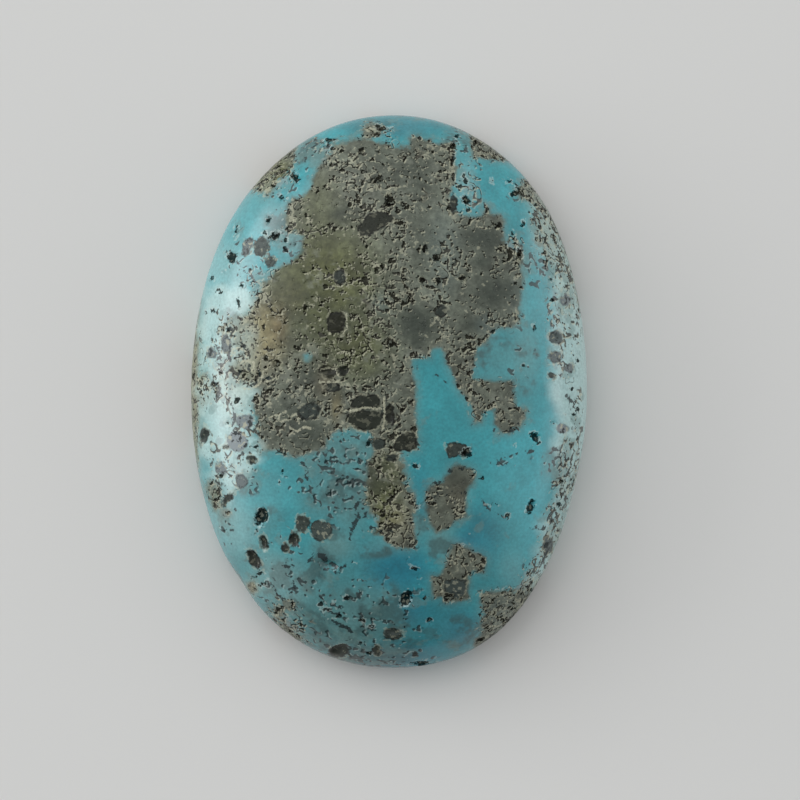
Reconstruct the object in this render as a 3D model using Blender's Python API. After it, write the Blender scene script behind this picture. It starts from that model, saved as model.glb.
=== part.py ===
"""Oval cabochon of turquoise in its host rock: a polished dome above, a flat back below.

The stone is one solid. X runs across it, Y runs along it and Z rises from its back, with the
origin at the middle of the back. Lengths are metres, and the pits' table is in millimetres.
"""

from typing import NamedTuple

import bmesh
import bpy
import numpy as np
from mathutils import Matrix, Vector

MM = 0.001

# Driving dimensions of the stone
STONE_WIDTH = 20.0 * MM
STONE_LENGTH = 27.9 * MM
STONE_HEIGHT = 6.4 * MM
GIRDLE_HEIGHT = 1.2 * MM

# Fullness of the curves: 2 is a true ellipse, and more is fuller
OUTLINE_FULLNESS = 2.1
DOME_FULLNESS = 2.25
SHOULDER_FULLNESS = 2.0

# Fineness of the solid
DOME_CELLS = 44
RIM_CROWDING = 0.6
OUTLINE_SAMPLES = 1440
SLOPE_STEP = 0.02 * MM
PIT_SUBDIVISIONS = 2
SHARP_EDGE = np.radians(28)

NODE_NAME = "turquoise_stone"
STONE_COLOUR = (0.085, 0.235, 0.255, 1.0)
STONE_ROUGHNESS = 0.32


class Ring(NamedTuple):
    """A line round the stone below its girdle."""

    inset: float  # in from the girdle
    height: float  # up from the back


class Swelling(NamedTuple):
    """A soft departure of the outline from a true oval."""

    angle: float  # degrees, from +X towards +Y
    spread: float  # degrees
    share: float  # of the radius there, and negative for a flat


class Pit(NamedTuple):
    """An open pit in the polished dome, in millimetres."""

    x: float
    y: float
    width: float
    length: float
    depth: float
    turn: float  # degrees that the long side leans from +Y towards -X


BACK_EDGE = (
    Ring(0.04 * MM, 0.6 * MM),
    Ring(0.15 * MM, 0.24 * MM),
    Ring(0.5 * MM, 0),
)

SWELLINGS = (
    Swelling(50, 20, 0.019),
    Swelling(112, 20, -0.012),
    Swelling(155, 20, -0.004),
    Swelling(222, 9, 0.004),
    Swelling(232, 4, -0.005),
    Swelling(243, 9, 0.004),
    Swelling(293, 16, 0.018),
    Swelling(332, 14, -0.010),
)

PITS = (
    Pit(-0.55, 10.65, 0.45, 0.3, 0.16, 0),
    Pit(0.05, 9.6, 0.45, 0.6, 0.2, -15),
    Pit(-4.7, 10.75, 0.35, 0.45, 0.16, 20),
    Pit(3.85, 9.6, 0.4, 0.3, 0.14, 0),
    Pit(-5.7, 7.8, 0.5, 0.35, 0.16, 30),
    Pit(-7.9, 6.75, 0.4, 0.6, 0.2, -10),
    Pit(6.55, 6.85, 0.3, 0.5, 0.15, 10),
    Pit(2.5, 6.7, 0.55, 0.4, 0.18, 20),
    Pit(1.85, 7.1, 0.3, 0.5, 0.14, -20),
    Pit(3.75, 5.65, 0.55, 0.35, 0.18, 0),
    Pit(2.5, 5.4, 0.3, 0.5, 0.15, 15),
    Pit(1.7, 5.55, 0.35, 0.35, 0.14, 0),
    Pit(0.05, 2.45, 0.35, 0.55, 0.16, 30),
    Pit(-3.1, 1.0, 0.9, 0.6, 0.2, 10),
    Pit(-2.2, 1.0, 0.45, 0.5, 0.18, 0),
    Pit(-5.6, 1.4, 0.4, 0.4, 0.16, 0),
    Pit(-7.0, 0.7, 0.4, 0.8, 0.16, 40),
    Pit(0.05, -1.15, 0.4, 0.85, 0.18, 5),
    Pit(3.9, -3.05, 0.45, 0.4, 0.18, 30),
    Pit(7.35, -2.3, 0.35, 0.5, 0.16, 25),
    Pit(7.1, -5.8, 0.35, 0.65, 0.18, -15),
    Pit(3.0, -10.35, 0.6, 0.4, 0.18, -20),
    Pit(0.85, -10.4, 0.6, 0.8, 0.22, -30),
    Pit(-2.95, -8.7, 0.9, 0.45, 0.2, -15),
    Pit(-6.4, -6.3, 0.6, 0.9, 0.25, -20),
    Pit(-6.3, -7.6, 0.4, 0.7, 0.18, 10),
    Pit(-6.75, -8.4, 0.4, 0.95, 0.18, 35),
    Pit(-4.75, -7.4, 0.45, 0.65, 0.18, 0),
    Pit(0.2, -12.05, 0.8, 0.35, 0.16, 0),
    Pit(-2.5, -12.95, 0.9, 0.4, 0.18, 15),
    Pit(-9.2, -2.3, 0.45, 0.8, 0.16, -20),
    Pit(8.3, 2.7, 0.55, 0.5, 0.14, 0),
)


def raw_outline_radius(angle):
    """Distance from the centre to a superellipse with its swellings added, for each angle."""
    across = np.abs(np.cos(angle) / (STONE_WIDTH / 2)) ** OUTLINE_FULLNESS
    along = np.abs(np.sin(angle) / (STONE_LENGTH / 2)) ** OUTLINE_FULLNESS
    radius = (across + along) ** (-1 / OUTLINE_FULLNESS)
    share = np.ones_like(radius)
    for swelling in SWELLINGS:
        away = (np.degrees(angle) - swelling.angle + 180) % 360 - 180
        share = share + swelling.share * np.exp(-((away / swelling.spread) ** 2))
    return radius * share


def outline_fit():
    """The middle and the scale that bring the swollen outline to the stone's width and length."""
    angle = np.linspace(0, 2 * np.pi, OUTLINE_SAMPLES, endpoint=False)
    radius = raw_outline_radius(angle)
    points = np.stack([radius * np.cos(angle), radius * np.sin(angle)])
    low = points.min(axis=1)
    high = points.max(axis=1)
    return (low + high) / 2, np.array([STONE_WIDTH, STONE_LENGTH]) / (high - low)


OUTLINE_MIDDLE, OUTLINE_SCALE = outline_fit()


def plan_point(share, angle):
    """X and Y at a share of the way from the centre to the outline."""
    radius = share * raw_outline_radius(angle)
    x = (radius * np.cos(angle) - OUTLINE_MIDDLE[0]) * OUTLINE_SCALE[0]
    y = (radius * np.sin(angle) - OUTLINE_MIDDLE[1]) * OUTLINE_SCALE[1]
    return x, y


def outline_share(x, y):
    """How far out a point in plan lies: 0 at the centre and 1 on the outline."""
    raw_x = x / OUTLINE_SCALE[0] + OUTLINE_MIDDLE[0]
    raw_y = y / OUTLINE_SCALE[1] + OUTLINE_MIDDLE[1]
    return np.hypot(raw_x, raw_y) / raw_outline_radius(np.arctan2(raw_y, raw_x))


def dome_height(share):
    """Height of the dome: flattest at its crown, and upright where it meets the girdle."""
    fall = np.clip(1 - share**DOME_FULLNESS, 0, 1)
    return GIRDLE_HEIGHT + (STONE_HEIGHT - GIRDLE_HEIGHT) * fall ** (1 / SHOULDER_FULLNESS)


def dome_normal(x, y):
    """The outward direction of the dome above a point in plan."""
    slope_x = dome_height(outline_share(x + SLOPE_STEP, y)) - dome_height(
        outline_share(x - SLOPE_STEP, y)
    )
    slope_y = dome_height(outline_share(x, y + SLOPE_STEP)) - dome_height(
        outline_share(x, y - SLOPE_STEP)
    )
    return Vector((-slope_x, -slope_y, 2 * SLOPE_STEP)).normalized()


def square_to_rings(u, v):
    """Turns a square from -1 to 1 into rings: each point's share of the way out, and its angle."""
    beside = np.abs(u) >= np.abs(v)
    signed = np.where(beside, u, v)
    other = np.where(beside, v, u)
    lean = np.pi / 4 * other / np.where(signed == 0, 1, signed)
    angle = np.where(beside, lean, np.pi / 2 - lean) + np.where(signed < 0, np.pi, 0)
    return np.abs(signed), angle


def shape_dome(bm):
    """A flat grid moved onto the dome, its rings set closer towards the rim."""
    bmesh.ops.create_grid(bm, x_segments=DOME_CELLS, y_segments=DOME_CELLS, size=1)
    square = np.array([vertex.co[:2] for vertex in bm.verts])
    out, angle = square_to_rings(square[:, 0], square[:, 1])
    crowded = (1 - RIM_CROWDING) * out + RIM_CROWDING * np.sin(np.pi / 2 * out)
    x, y = plan_point(crowded, angle)
    z = dome_height(crowded)
    for vertex, place in zip(bm.verts, zip(x, y, z)):
        vertex.co = place


def ring_below(bm, edges, step_in, height):
    """Draws a ring of edges down to a height, a step further in than the one above."""
    made = bmesh.ops.extrude_edge_only(bm, edges=edges)["geom"]
    for vertex in (item for item in made if isinstance(item, bmesh.types.BMVert)):
        out = vertex.co.xy
        vertex.co.xy = out * (1 - step_in / out.length)
        vertex.co.z = height
    return [item for item in made if isinstance(item, bmesh.types.BMEdge) and item.is_boundary]


def stone_mesh():
    """The whole stone before its pits: dome, girdle, rounded back edge and flat back."""
    bm = bmesh.new()
    shape_dome(bm)
    edges = [edge for edge in bm.edges if edge.is_boundary]
    inset = 0
    for ring in BACK_EDGE:
        edges = ring_below(bm, edges, ring.inset - inset, ring.height)
        inset = ring.inset
    bmesh.ops.contextual_create(bm, geom=edges)
    bmesh.ops.recalc_face_normals(bm, faces=bm.faces)
    mesh = bpy.data.meshes.new(NODE_NAME)
    bm.to_mesh(mesh)
    bm.free()
    return mesh


def pit_matrix(pit):
    """Where a pit's bowl sits: at its place on the dome, square to the surface there."""
    x = pit.x * MM
    y = pit.y * MM
    place = Vector((x, y, float(dome_height(outline_share(x, y)))))
    upright = Vector((0, 0, 1)).rotation_difference(dome_normal(x, y)).to_matrix().to_4x4()
    turned = Matrix.Rotation(np.radians(pit.turn), 4, "Z")
    half_sizes = (pit.width * MM / 2, pit.length * MM / 2, pit.depth * MM)
    return Matrix.Translation(place) @ upright @ turned @ Matrix.Diagonal((*half_sizes, 1))


def pit_cutter():
    """Every pit's bowl in one helper: ellipsoids whose middles lie on the dome."""
    bm = bmesh.new()
    for pit in PITS:
        bmesh.ops.create_icosphere(
            bm, subdivisions=PIT_SUBDIVISIONS, radius=1, matrix=pit_matrix(pit)
        )
    mesh = bpy.data.meshes.new("pit_bowls")
    bm.to_mesh(mesh)
    bm.free()
    cutter = bpy.data.objects.new("pit_bowls", mesh)
    bpy.context.scene.collection.objects.link(cutter)
    cutter.hide_render = True
    cutter.display_type = "WIRE"
    return cutter


def polished_turquoise():
    """The stone's plain colour under a dull polish."""
    material = bpy.data.materials.new("turquoise in host rock, polished")
    material.use_nodes = True
    surface = material.node_tree.nodes["Principled BSDF"]
    surface.inputs["Base Color"].default_value = STONE_COLOUR
    surface.inputs["Roughness"].default_value = STONE_ROUGHNESS
    surface.inputs["Metallic"].default_value = 0
    return material


def main():
    """Clears the scene and makes the stone with its pits cut."""
    for old in list(bpy.data.objects):
        bpy.data.objects.remove(old)
    stone = bpy.data.objects.new(NODE_NAME, stone_mesh())
    bpy.context.scene.collection.objects.link(stone)
    stone.data.materials.append(polished_turquoise())
    stone.data.shade_smooth()
    stone.data.set_sharp_from_angle(angle=SHARP_EDGE)
    pits = stone.modifiers.new("pits", "BOOLEAN")
    pits.operation = "DIFFERENCE"
    pits.solver = "EXACT"
    pits.object = pit_cutter()


main()
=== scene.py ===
"""Oval turquoise cabochon in its host rock: the fine surface, its finish and a plain studio.

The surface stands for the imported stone, in the same place and at the same size. Marks are listed in
millimetres seen square-on to the domed face: x across the stone and y along it, from its middle.
"""

import logging
import math
from collections.abc import Sequence
from dataclasses import dataclass, field
from enum import Enum

import bpy
import numpy as np
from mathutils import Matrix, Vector


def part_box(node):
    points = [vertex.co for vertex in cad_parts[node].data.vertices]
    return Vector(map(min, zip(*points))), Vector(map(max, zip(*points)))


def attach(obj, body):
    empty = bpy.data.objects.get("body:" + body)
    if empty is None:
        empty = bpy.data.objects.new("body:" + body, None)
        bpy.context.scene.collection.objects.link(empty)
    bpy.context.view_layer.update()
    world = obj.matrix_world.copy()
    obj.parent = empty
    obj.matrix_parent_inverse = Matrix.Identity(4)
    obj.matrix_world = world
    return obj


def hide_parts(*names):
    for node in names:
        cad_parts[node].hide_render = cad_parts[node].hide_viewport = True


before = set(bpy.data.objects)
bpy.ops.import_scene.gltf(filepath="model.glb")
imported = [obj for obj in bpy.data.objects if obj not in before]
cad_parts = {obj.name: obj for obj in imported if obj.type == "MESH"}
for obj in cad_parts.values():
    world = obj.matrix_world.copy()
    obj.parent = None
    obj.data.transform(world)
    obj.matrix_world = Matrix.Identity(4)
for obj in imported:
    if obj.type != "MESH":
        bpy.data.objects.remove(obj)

Array = np.ndarray
Socket = bpy.types.NodeSocket

MM = 0.001
NODE = "turquoise_stone"
LOG = logging.getLogger("cabochon")
# The depth in mm of a place that lies far from every mark of a list.
FAR_OUTSIDE = -9.0


class Zone(Enum):
    """Fields painted on the surface, each kept as a point attribute of this name.

    Rock, grain, pit, vein and crack are depths in mm, positive inside the mark. A grain's tone runs
    from 0 to 2, and every other zone from 0, absent, to 1, strong.
    """

    ROCK = "host_rock"
    GRAIN = "grain"
    GRAIN_TONE = "grain_tone"
    PIT = "pit"
    VEIN = "vein"
    CRACK = "crack"
    CHALKY = "chalky"
    # Painted light: a lighter turquoise down the right flank, where more light falls.
    BRIGHT = "bright"
    DEEP = "deep"
    MUTED = "muted"
    # Painted shade: a darker teal along the top and bottom rims and on a few patches inside.
    SHADED = "shaded"
    SPECKLED = "speckled"
    OLIVE = "olive"
    TAN = "tan"
    RUST = "rust"
    CLOUD = "cloud"
    MIXED = "mixed"
    CALM = "calm"
    EDGE = "edge"
    PITTED = "pitted"


class Hue(Enum):
    """Colours of the stone as sRGB hex values."""

    TURQUOISE = "33929a"
    CHALK = "b1cecb"
    # Painted light: the lighter turquoise laid down the right flank.
    BRIGHT_BLUE = "39a4ae"
    DEEP_BLUE = "147184"
    GREY_TEAL = "64827e"
    # Dark grey teal: the grey web in muted turquoise, and painted shade at the rims.
    SHADED_TEAL = "3c5a59"
    DARK_TEAL = "0b1d1f"
    SMUDGE = "889898"
    # Pale teal: pale pit lips in turquoise, and painted highlights beside dark flecks.
    PALE_FLECK = "c3d4cd"
    ROCK = "61665a"
    OLIVE = "575a35"
    TAN = "897e5a"
    RUST = "70502c"
    CLOUD = "323a33"
    # Light rock: paler patches of rock, and painted glints inside the pits.
    LIGHT_ROCK = "84887b"
    # Cream: veins, flecks and lips, and painted highlights beside dark flecks.
    CREAM = "bcbba2"
    DARK_FLECK = "0c0d09"
    GRAIN_BLACK = "24251a"
    GRAIN_PALE = "8f989b"
    GRAIN_GREY = "485350"
    # Near-black of the pits: dirt in them, and painted shade.
    PIT = "0a0a08"


def linear(hue: Hue) -> tuple[float, float, float, float]:
    """Turns an sRGB hex colour into the linear values that a shader takes.

    Args:
        hue: The named colour.

    Returns:
        Linear red, green and blue, and full opacity.
    """
    parts = [int(hue.value[i : i + 2], 16) / 255 for i in (0, 2, 4)]
    red, green, blue = (p / 12.92 if p <= 0.04045 else ((p + 0.055) / 1.055) ** 2.4 for p in parts)
    return red, green, blue, 1.0


def ease(value: Array, low: float, high: float) -> Array:
    """Smooth step: 0 below low, 1 above high, and 3t^2 - 2t^3 of the way t between them."""
    t = np.clip((value - low) / (high - low), 0, 1)
    return t * t * (3 - 2 * t)


def lattice_noise(x: Array, y: Array, size: float, seed: int) -> Array:
    """Random values on a square lattice, blended across each cell with the smooth step's weights.

    Args:
        x: Places across the stone, in mm.
        y: Places along the stone, in mm.
        size: Side of a lattice cell, in mm.
        seed: Which random lattice.

    Returns:
        Values from -1 to 1.
    """
    cells = 512
    table = np.random.default_rng(seed).uniform(-1, 1, (cells, cells))
    across = x / size + cells / 2
    along = y / size + cells / 2
    column = np.floor(across).astype(int)
    row = np.floor(along).astype(int)
    blend_x = ease(across - column, 0, 1)
    blend_y = ease(along - row, 0, 1)
    low = table[row % cells, column % cells] * (1 - blend_x)
    low = low + table[row % cells, (column + 1) % cells] * blend_x
    high = table[(row + 1) % cells, column % cells] * (1 - blend_x)
    high = high + table[(row + 1) % cells, (column + 1) % cells] * blend_x
    return low * (1 - blend_y) + high * blend_y


@dataclass(frozen=True)
class Spot:
    """An oval mark on the face, in millimetres.

    The turn is in degrees, and leans the mark's length from +y towards -x.
    """

    x: float
    y: float
    width: float
    length: float
    turn: float = 0.0

    def reach(self, x: Array, y: Array) -> Array:
        """Distance from the mark's middle as a share of the way to its edge, in each direction."""
        cosine = math.cos(math.radians(self.turn))
        sine = math.sin(math.radians(self.turn))
        across = (x - self.x) * cosine + (y - self.y) * sine
        along = (y - self.y) * cosine - (x - self.x) * sine
        return np.hypot(across / (self.width / 2), along / (self.length / 2))

    def depth(self, x: Array, y: Array) -> Array:
        """Roughly how far inside the edge each place lies, in mm: negative outside."""
        return (1 - self.reach(x, y)) * min(self.width, self.length) / 2


@dataclass(frozen=True)
class Grain(Spot):
    """A mineral grain cut flush by the polish; tone: 0 is black, 1 grey and 2 palest."""

    tone: float = 0.2


@dataclass(frozen=True)
class Pit(Spot):
    """An open pit; deep is how far it sinks in mm, or 0 to take it from the pit's size."""

    deep: float = 0.0


@dataclass(frozen=True)
class Tint(Spot):
    """A soft-edged patch where a zone is strong."""

    strength: float = 1.0

    def weight(self, x: Array, y: Array) -> Array:
        """Strength times e to the minus cube of the reach: a flat middle and a soft edge."""
        return self.strength * np.exp(-(self.reach(x, y) ** 3))


@dataclass(frozen=True)
class Outline:
    """A closed outline on the face, as corners in millimetres; only a grain's uses its tone."""

    corners: tuple[tuple[float, float], ...]
    tone: float = 0.2

    def depth(self, x: Array, y: Array) -> Array:
        """Distance to the nearest side, in mm: positive inside and negative outside.

        A place is inside where a line drawn from it towards +x crosses the sides an odd number of
        times.
        """
        nearest = np.full_like(x, np.inf)
        inside = np.zeros(x.shape, bool)
        ends = self.corners[1:] + self.corners[:1]
        for (x0, y0), (x1, y1) in zip(self.corners, ends):
            nearest = np.minimum(nearest, side_distance(x, y, (x0, y0), (x1, y1)))
            if y0 != y1:
                crosses = (y0 > y) != (y1 > y)
                inside ^= crosses & (x < x0 + (y - y0) * (x1 - x0) / (y1 - y0))
        return np.where(inside, nearest, -nearest)


@dataclass(frozen=True)
class Line:
    """A thin line drawn on the face through points in millimetres, and its width."""

    width: float
    points: tuple[tuple[float, float], ...]

    def depth(self, x: Array, y: Array) -> Array:
        """Half the width less the distance to the line, in mm: positive on the line."""
        nearest = np.full_like(x, np.inf)
        for start, end in zip(self.points, self.points[1:]):
            nearest = np.minimum(nearest, side_distance(x, y, start, end))
        return self.width / 2 - nearest


def side_distance(
    x: Array, y: Array, start: tuple[float, float], end: tuple[float, float]
) -> Array:
    """Distance from each place to a straight side.

    The nearest point of the side is its start plus the clipped share of the way that the place
    projects to.
    """
    run = end[0] - start[0]
    rise = end[1] - start[1]
    share = ((x - start[0]) * run + (y - start[1]) * rise) / (run * run + rise * rise)
    share = np.clip(share, 0, 1)
    return np.hypot(x - start[0] - share * run, y - start[1] - share * rise)


def deepest(marks: Sequence[Spot | Outline | Line], x: Array, y: Array) -> tuple[Array, Array]:
    """The depth inside whichever mark each place is deepest in.

    Args:
        marks: The marks to look through.
        x: Places across the stone, in mm.
        y: Places along the stone, in mm.

    Returns:
        The depth in mm, and the number of that mark in the list.
    """
    best = np.full_like(x, FAR_OUTSIDE)
    which = np.zeros(x.shape, int)
    for number, mark in enumerate(marks):
        depth = mark.depth(x, y)
        which = np.where(depth > best, number, which)
        best = np.maximum(best, depth)
    return best, which


# The host rock's outlines on the face: the broad upper patch, the rim's pieces and the small ones.
HOST_ROCK = (
    Outline((
        (-3.0, 11.5), (-2.95, 12.1), (-2.7, 12.45), (-2.0, 12.65), (-1.1, 12.75), (-0.75, 12.65),
        (-0.2, 12.6), (0.1, 12.4), (0.5, 12.25), (1.0, 12.3), (1.1, 12.85), (1.45, 12.85),
        (1.7, 12.65), (2.1, 12.65), (2.2, 12.4), (2.95, 12.5), (3.3, 12.4), (3.3, 10.9),
        (3.2, 10.3), (3.0, 9.9), (3.1, 9.2), (3.6, 8.9), (4.1, 8.7), (4.6, 8.8), (4.95, 9.3),
        (5.1, 8.9), (5.6, 8.85), (5.75, 8.6), (5.75, 7.6), (6.0, 7.3), (6.6, 7.05), (6.7, 6.6),
        (6.6, 6.2), (6.7, 5.5), (6.6, 4.8), (6.5, 4.0), (6.6, 3.4), (6.0, 3.1), (5.5, 3.2),
        (5.2, 3.0), (4.9, 2.5), (4.4, 2.2), (4.3, 1.7), (4.2, 1.0), (4.25, 0.65), (5.0, 0.55),
        (6.2, 0.55), (6.25, 0.0), (6.3, -0.5), (6.4, -0.8), (6.9, -0.9), (6.85, -1.3),
        (6.6, -1.8), (6.0, -2.1), (5.6, -2.0), (5.35, -1.6), (5.3, -0.9), (4.8, -0.9),
        (4.6, -1.55), (4.3, -1.6), (4.15, -1.1), (4.2, -0.8), (3.9, -0.5), (3.7, -0.2),
        (3.4, 0.2), (3.3, 0.6), (3.1, 0.95), (2.9, 1.4), (2.75, 1.9), (2.65, 2.2), (2.4, 2.2),
        (2.1, 2.0), (2.05, 1.75), (1.4, 1.75), (1.15, 1.5), (1.25, 1.0), (1.35, 0.0),
        (1.35, -1.9), (1.45, -2.3), (1.4, -2.9), (0.6, -3.0), (0.5, -3.2), (0.7, -3.7),
        (0.85, -4.3), (1.05, -4.9), (1.3, -5.2), (1.35, -5.8), (1.3, -6.6), (1.35, -7.7),
        (1.0, -7.9), (0.5, -7.8), (0.1, -7.6), (-0.3, -7.2), (-1.0, -7.0), (-0.6, -6.8),
        (-0.5, -6.3), (-0.9, -6.0), (-1.2, -5.4), (-1.1, -4.5), (-1.0, -3.5), (-0.7, -3.0),
        (-0.8, -2.3), (-1.0, -2.0), (-2.0, -1.9), (-2.6, -2.0), (-3.0, -2.4), (-3.3, -2.9),
        (-4.3, -3.2), (-4.7, -3.3), (-5.0, -3.1), (-5.6, -3.0), (-6.2, -2.9), (-6.5, -2.5),
        (-6.7, -1.9), (-6.5, -1.3), (-6.7, -0.8), (-6.8, 0.2), (-7.4, 0.4), (-8.0, 1.0),
        (-7.9, 2.2), (-8.5, 3.0), (-8.2, 3.6), (-7.7, 3.8), (-7.0, 4.0), (-6.8, 4.4),
        (-6.5, 4.8), (-6.4, 5.3), (-6.0, 5.6), (-5.7, 6.0), (-5.3, 6.3), (-4.9, 6.4),
        (-4.6, 6.8), (-4.35, 7.1), (-4.3, 7.8), (-5.2, 8.05), (-5.2, 8.9), (-5.05, 9.5),
        (-4.9, 9.7), (-4.3, 9.75), (-3.95, 10.1), (-3.85, 10.7), (-3.5, 11.3),
    )),
    Outline((
        (-4.75, 11.9), (-4.8, 11.3), (-5.05, 11.0), (-5.7, 10.5), (-5.85, 10.1), (-6.0, 9.8),
        (-6.3, 9.75), (-6.25, 10.05), (-6.85, 10.1), (-8.0, 10.6), (-5.5, 13.5), (-4.6, 12.9),
    )),
    Outline((
        (4.1, 12.5), (4.2, 11.75), (5.0, 11.7), (5.8, 11.65), (7.0, 11.8), (6.0, 13.5),
        (4.0, 14.0),
    )),
    Outline((
        (6.75, 10.6), (6.3, 9.95), (7.0, 9.6), (7.5, 9.4), (7.6, 8.9), (7.4, 8.3), (7.5, 7.5),
        (7.9, 7.0), (8.6, 6.4), (9.3, 5.6), (9.6, 4.0), (10.6, 4.0), (10.2, 9.0), (8.0, 11.6),
    )),
    Outline((
        (8.0, -9.2), (7.1, -9.3), (6.8, -9.5), (6.6, -9.9), (6.0, -10.1), (4.6, -10.1),
        (4.7, -11.3), (4.65, -12.2), (4.3, -12.5), (4.3, -12.9), (4.6, -14.0), (8.5, -12.0),
    )),
    Spot(8.9, -4.6, 0.5, 1.6),
    Spot(8.3, -7.6, 0.7, 1.5, -20),
    Outline((
        (3.1, -3.8), (3.4, -3.65), (3.8, -3.75), (4.2, -3.95), (4.3, -4.2), (4.2, -4.6),
        (3.95, -4.8), (3.9, -5.2), (3.85, -5.9), (3.9, -6.2), (3.5, -6.4), (3.1, -6.8),
        (2.4, -7.0), (2.0, -6.6), (1.85, -5.7), (1.9, -5.0), (2.0, -4.7), (2.3, -4.55),
        (2.7, -4.45), (3.0, -4.1),
    )),
    Outline((
        (3.0, -8.0), (3.4, -7.6), (3.7, -7.7), (4.2, -8.0), (4.6, -8.1), (4.9, -8.4),
        (4.75, -9.1), (4.2, -9.0), (4.0, -9.2), (4.0, -10.4), (3.1, -10.6), (2.75, -10.6),
        (2.7, -10.3), (2.2, -10.3), (2.15, -9.3), (2.7, -9.2), (2.85, -8.6),
    )),
    Spot(-0.9, 13.1, 0.8, 0.9, 20),
    Spot(-9.85, 0.0, 0.45, 11.0),
    Spot(-9.2, 0.0, 1.0, 1.6),
    Spot(-8.75, -5.2, 0.8, 1.5, 10),
    Spot(-8.2, -6.1, 0.5, 0.4),
    Spot(-6.9, -9.9, 0.5, 0.5),
    Spot(-5.0, -12.4, 2.6, 0.9, -55),
    Spot(-5.2, -10.9, 1.1, 0.7, 30),
)

# Turquoise showing through the host rock.
WINDOWS = (
    Spot(-4.1, 1.7, 0.5, 0.5),
    Spot(-4.85, 7.5, 0.95, 0.75, 80),
)

# Dark and grey grains; a row gives x, y, width, length, turn and tone.
GRAINS = (
    Outline((
        (-1.6, 8.1), (-1.4, 7.8), (-0.9, 7.8), (-0.3, 8.2), (0.25, 8.6), (-0.1, 8.95),
        (-0.5, 9.0), (-1.0, 8.9), (-1.35, 8.5),
    ), 0.12),
    Outline((
        (-3.1, 3.15), (-3.05, 3.8), (-2.75, 4.0), (-2.35, 3.95), (-2.15, 3.6), (-2.2, 3.1),
        (-2.5, 2.95), (-2.9, 2.95),
    ), 0.0),
    Outline((
        (-2.0, -0.85), (-1.9, -0.5), (-1.5, -0.2), (-0.6, -0.2), (-0.4, -0.5), (-0.45, -0.85),
    ), 0.15),
    Outline((
        (-2.1, -1.1), (-1.9, -1.7), (-1.2, -2.0), (-0.9, -1.95), (-0.4, -1.7), (-0.3, -1.1),
        (-1.2, -0.95),
    ), 0.15),
    Outline((
        (0.4, -2.3), (0.6, -2.1), (1.2, -2.05), (1.4, -2.3), (1.4, -2.85), (1.0, -3.0),
        (0.5, -2.95), (0.2, -2.8),
    ), 0.12),
    Outline((
        (2.85, -2.6), (3.3, -2.5), (3.8, -2.7), (4.1, -2.95), (3.9, -3.1), (3.7, -3.4),
        (3.5, -3.2), (3.0, -3.3), (2.85, -3.0),
    ), 0.55),
    Outline((
        (2.8, -9.5), (3.2, -9.4), (3.9, -9.5), (3.75, -10.3), (3.5, -10.35), (2.75, -10.5),
    ), 0.8),
    *(Grain(*row) for row in (
        (2.6, 4.0, 0.6, 0.6, 0, 0.35), (-2.45, 5.7, 0.65, 0.75, 0, 0.35),
        (3.25, 9.4, 0.35, 0.9, 0, 0.35), (-3.0, 1.0, 1.0, 0.6, 0, 0.05),
        (-2.3, 1.0, 0.6, 0.5, 0, 0.15), (-2.8, 0.2, 0.8, 0.5, 0, 0.25),
        (0.05, -1.15, 0.5, 0.95, 0, 0.1), (-0.55, -2.6, 0.7, 0.6, 0, 0.45),
        (0.15, -3.3, 0.6, 0.35, 0, 0.35), (-4.0, -1.0, 1.2, 0.8, 10, 0.5),
        (-6.4, 7.25, 0.85, 0.95, -30, 0.85), (-5.95, 6.5, 0.6, 0.6, 0, 1.0),
        (-7.1, 7.3, 0.5, 0.9, -20, 1.3), (8.4, 2.75, 0.75, 0.7, 0, 1.2),
        (8.35, 1.75, 0.65, 0.6, 0, 1.3), (8.15, 0.8, 0.4, 0.35, 0, 0.75),
        (9.05, 1.15, 0.5, 0.5, 0, 1.5), (-7.2, -1.5, 0.9, 0.7, 0, 1.7),
        (-9.35, -2.3, 0.35, 0.9, -15, 0.6), (-7.4, -4.5, 0.6, 0.7, 0, 1.4),
        (-6.85, -3.4, 0.5, 0.45, 0, 0.4), (-8.2, -2.8, 0.35, 0.3, 0, 0.5),
        (-4.3, -6.6, 0.7, 0.9, 0, 0.6), (-3.4, -6.95, 1.1, 1.0, 0, 0.85),
        (-6.8, -8.4, 0.5, 1.1, 35, 0.2), (-6.25, -7.6, 0.4, 0.7, 10, 0.3),
        (-5.2, -7.85, 0.5, 0.45, 0, 0.3), (-4.75, -7.4, 0.5, 0.7, 0, 0.25),
        (0.2, -12.2, 1.0, 0.55, 0, 0.6), (-0.6, -13.0, 0.45, 0.5, 0, 0.25),
        (-2.5, -13.1, 1.2, 0.6, 15, 0.25), (1.3, -13.2, 0.35, 0.35, 0, 0.4),
        (-8.1, -5.4, 0.3, 0.8, -40, 0.4), (-7.6, -2.5, 1.1, 1.0, 0, 1.9),
        (-8.9, 1.9, 0.5, 0.6, 0, 1.5), (-8.2, 2.4, 0.5, 0.9, 10, 1.4), (8.9, 4.6, 0.5, 0.6, 0, 1.6),
        (8.7, -1.9, 0.6, 0.5, 0, 1.8), (-8.4, -3.9, 0.5, 0.7, 20, 1.6),
        (8.0, -7.7, 0.5, 0.8, 0, 1.2),
    )),
)

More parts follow.
